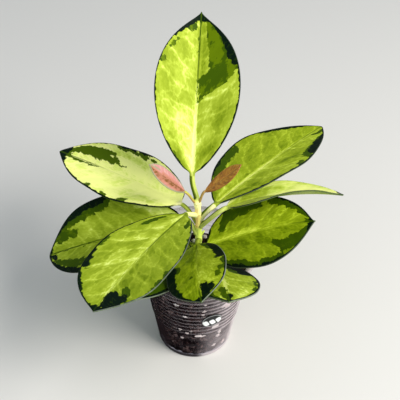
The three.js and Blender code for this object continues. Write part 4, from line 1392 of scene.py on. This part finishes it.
class HoyaStemLook(bpy.types.PropertyGroup):
    """Colours of the stem."""

    cream: paint("Cream", "Young stem", (1.0, 0.97, 0.42))
    pinkish: paint("Pinkish cream", "Stem under the top joint", (0.90, 0.78, 0.22))
    # Colour of the painted shade on the stem's left under the top joint
    tan: paint("Tan", "Left of the stem under the top joint", (0.70, 0.50, 0.14))
    yellow_green: paint("Yellow green", "Middle stem", (0.60, 0.72, 0.12))
    green: paint("Green", "Lower stem", (0.30, 0.40, 0.06))
    bark: paint("Bark", "Foot of the stem", (0.16, 0.12, 0.06))
    scar: paint("Scar", "Line at a joint", (0.26, 0.14, 0.05))
    # Strength of the painted light: the stem's glow in its own colour
    painted_glow: FloatProperty(
        name="Glow", description="Light through the young stem", default=0.26, min=0.0, max=1.0
    )


class HoyaCupLook(bpy.types.PropertyGroup):
    """Finish of the cup and its label."""

    rib_depth: FloatProperty(
        name="Rib depth", description="How far the ribs stand out", default=0.00035,
        min=0.0, max=0.001, unit="LENGTH", precision=5,
    )
    tint: paint("Tint", "Colour that the plastic lets through", (0.95, 0.93, 0.945))
    haze_colour: paint("Haze", "Colour of the plastic's haze", (0.65, 0.57, 0.60))
    # Dark of the mix seen through the plastic's edges, and of the painted shade on the left and at
    # the foot
    bent_and_shade_colour: paint("Bent", "Mix seen through the plastic's edges", (0.02, 0.013, 0.015))
    ink: paint("Ink", "Ground of the label", (0.006, 0.008, 0.009))
    paper: paint("Paper", "Border and marks of the label", (0.88, 0.91, 0.90))


class HoyaMixLook(bpy.types.PropertyGroup):
    """Colours and counts of the potting mix."""

    # Darkest bark, and also the colour of the painted shade in the gaps and round the stem
    black: paint("Black", "Gaps in the mix", (0.003, 0.001, 0.002))
    dark: paint("Dark", "Damp bark", (0.009, 0.005, 0.006))
    brown: paint("Brown", "Bark", (0.024, 0.012, 0.012))
    reddish: paint("Reddish", "Red bark", (0.058, 0.029, 0.026))
    grey: paint("Grey", "Dry bark", (0.17, 0.125, 0.115))
    perlite: paint("Perlite", "Pale grains", (1.0, 0.99, 0.92))
    perlite_pink: paint("Pink perlite", "Stained grains", (0.82, 0.62, 0.56))
    grains: IntProperty(
        name="Grains", description="Random pale grains at the wall", default=60, min=0, max=400
    )
    chips: IntProperty(
        name="Chips", description="Bark chips at the wall", default=260, min=0, max=900
    )
    seed: IntProperty(name="Seed", description="Start of the random draw", default=11)


class HoyaStage(bpy.types.PropertyGroup):
    """Floor and lights."""

    floor: paint("Floor", "Plain pale floor", (0.70, 0.69, 0.67))
    key: FloatProperty(
        name="Key light", description="Large soft lamp", default=21.0, min=0, unit="POWER"
    )
    key_colour: paint("Key colour", "Warm tint of the large lamp", (1.0, 0.965, 0.91))
    fill: FloatProperty(
        name="Fill light", description="Weak soft lamp", default=2.2, min=0, unit="POWER"
    )
    sky: FloatProperty(name="Sky", description="Even light from all round", default=0.44, min=0)
    sky_colour: paint("Sky colour", "Cool tint of the even light", (0.86, 0.94, 1.0))


class HOYA_OT_leaves(bpy.types.Operator):
    """Make the ten grown leaves"""

    bl_idname = "hoya.leaves"
    bl_label = "Leaves"

    def execute(self, context):
        material = leaf_finish(context.scene.hoya_leaf)
        for seed, (name, leaf) in enumerate(LEAVES.items(), start=1):
            make_leaf(name, leaf, material, "leaf", seed)
        return {"FINISHED"}


class HOYA_OT_young_leaves(bpy.types.Operator):
    """Make the two young leaves"""

    bl_idname = "hoya.young_leaves"
    bl_label = "Young leaves"

    def execute(self, context):
        look = context.scene.hoya_young
        finishes = (pink_finish(look), copper_finish(look))
        slots = ("young_leaf_pink", "young_leaf_copper")
        each = zip(YOUNG_LEAVES.items(), finishes, slots)
        for seed, ((name, leaf), material, slot) in enumerate(each, start=YOUNG_SEED):
            make_leaf(name, leaf, material, slot, seed)
        return {"FINISHED"}


class HOYA_OT_stem(bpy.types.Operator):
    """Make the stem with its joints and bare side stalk"""

    bl_idname = "hoya.stem"
    bl_label = "Stem"

    def execute(self, context):
        make_stem(stem_finish(context.scene.hoya_stem), "stem")
        return {"FINISHED"}


class HOYA_OT_cup(bpy.types.Operator):
    """Make the clear ribbed cup"""

    bl_idname = "hoya.cup"
    bl_label = "Cup"

    def execute(self, context):
        look = context.scene.hoya_cup
        make_cup(cup_finish(look), look.rib_depth / METRES, "cup")
        return {"FINISHED"}


class HOYA_OT_label(bpy.types.Operator):
    """Make the oval label"""

    bl_idname = "hoya.label"
    bl_label = "Label"

    def execute(self, context):
        make_label(label_finish(context.scene.hoya_cup), "label")
        return {"FINISHED"}


class HOYA_OT_mix(bpy.types.Operator):
    """Make the potting mix with its bark chips and perlite"""

    bl_idname = "hoya.mix"
    bl_label = "Potting mix"

    def execute(self, context):
        look = context.scene.hoya_mix
        make_mix(mix_finish(look), "potting_mix")
        make_chips(chip_finish(look), look.chips, look.seed, "potting_mix")
        make_perlite(grain_finish(look), look.grains, look.seed + GRAIN_SEED, "potting_mix")
        return {"FINISHED"}


class HOYA_OT_stage(bpy.types.Operator):
    """Make the floor, the lights and the camera"""

    bl_idname = "hoya.stage"
    bl_label = "Stage"

    def execute(self, context):
        look = context.scene.hoya_stage
        make_floor(look.floor)
        add_lamp("key", KEY_PLACE, KEY_SIZE, look.key, look.key_colour)
        add_lamp("fill", FILL_PLACE, FILL_SIZE, look.fill, look.sky_colour)
        world = bpy.data.worlds.new("studio")
        world.use_nodes = True
        background = world.node_tree.nodes["Background"]
        background.inputs["Color"].default_value = (*look.sky_colour, 1.0)
        background.inputs["Strength"].default_value = look.sky
        context.scene.world = world
        context.scene.view_settings.view_transform = "Standard"
        add_camera()
        return {"FINISHED"}


class HOYA_PT_panel(bpy.types.Panel):
    """Lists the hoya's operators and settings"""

    bl_label = "Potted hoya"
    bl_idname = "HOYA_PT_panel"
    bl_space_type = "VIEW_3D"
    bl_region_type = "UI"
    bl_category = "Hoya"

    def draw(self, context):
        for operator in OPERATORS:
            self.layout.operator(operator.bl_idname)
        for name in SETTINGS:
            group = getattr(context.scene, name)
            box = self.layout.box()
            for key in group.bl_rna.properties.keys():
                if key not in ("rna_type", "name"):
                    box.prop(group, key)


def make_floor(colour):
    """A wide flat floor under the object."""
    mesh = bpy.data.meshes.new("floor")
    half = FLOOR_REACH
    corners = [(-half, -half, 0), (half, -half, 0), (half, half, 0), (-half, half, 0)]
    mesh.from_pydata(corners, [], [(0, 1, 2, 3)])
    mesh.materials.append(floor_finish(colour))
    link_object("floor", mesh)


def add_lamp(name, place, size, power, colour):
    """A square lamp at a place, facing the plant."""
    lamp = bpy.data.lights.new(name, "AREA")
    lamp.color = colour
    lamp.shape = "SQUARE"
    lamp.size = size
    lamp.energy = power
    towards = np.array(LAMP_AIM) - place
    link_object(name, lamp).matrix_world = facing_matrix(place, towards)


def facing_matrix(place, forward):
    """A matrix whose -Z looks forward from a place, with its X level."""
    forward = unit(np.array(forward, float))
    right = unit(np.cross(forward, (0.0, 0.0, 1.0)))
    matrix = np.eye(4)
    matrix[:3] = np.stack([right, np.cross(right, forward), -forward, place], -1)
    return Matrix(matrix.tolist())


def add_camera():
    """The camera looks along +Y and down, and leans a little about its own axis."""
    data = bpy.data.cameras.new("camera")
    data.sensor_width = CAMERA_SENSOR
    data.lens = CAMERA_SENSOR * CAMERA_FOCUS
    data.clip_start, data.clip_end = CAMERA_RANGE
    camera = link_object("camera", data)
    down = math.radians(CAMERA_DOWN)
    forward = (0.0, math.cos(down), -math.sin(down))
    lean = Matrix.Rotation(math.radians(CAMERA_LEAN), 4, "Z")
    camera.matrix_world = facing_matrix(np.array(CAMERA_PLACE) * METRES, forward) @ lean
    bpy.context.scene.camera = camera


SETTINGS = {
    "hoya_leaf": HoyaLeafLook,
    "hoya_young": HoyaYoungLook,
    "hoya_stem": HoyaStemLook,
    "hoya_cup": HoyaCupLook,
    "hoya_mix": HoyaMixLook,
    "hoya_stage": HoyaStage,
}
OPERATORS = (
    HOYA_OT_cup,
    HOYA_OT_mix,
    HOYA_OT_label,
    HOYA_OT_stem,
    HOYA_OT_leaves,
    HOYA_OT_young_leaves,
    HOYA_OT_stage,
)


def register():
    for group in SETTINGS.values():
        bpy.utils.register_class(group)
    for cls in (*OPERATORS, HOYA_PT_panel):
        bpy.utils.register_class(cls)
    for name, group in SETTINGS.items():
        setattr(bpy.types.Scene, name, PointerProperty(type=group))


def unregister():
    for name in SETTINGS:
        delattr(bpy.types.Scene, name)
    for cls in reversed((*SETTINGS.values(), *OPERATORS, HOYA_PT_panel)):
        bpy.utils.unregister_class(cls)


def main():
    register()
    bpy.ops.hoya.cup()
    bpy.ops.hoya.mix()
    bpy.ops.hoya.label()
    bpy.ops.hoya.stem()
    bpy.ops.hoya.leaves()
    bpy.ops.hoya.young_leaves()
    bpy.ops.hoya.stage()


if __name__ == "__main__":
    main()
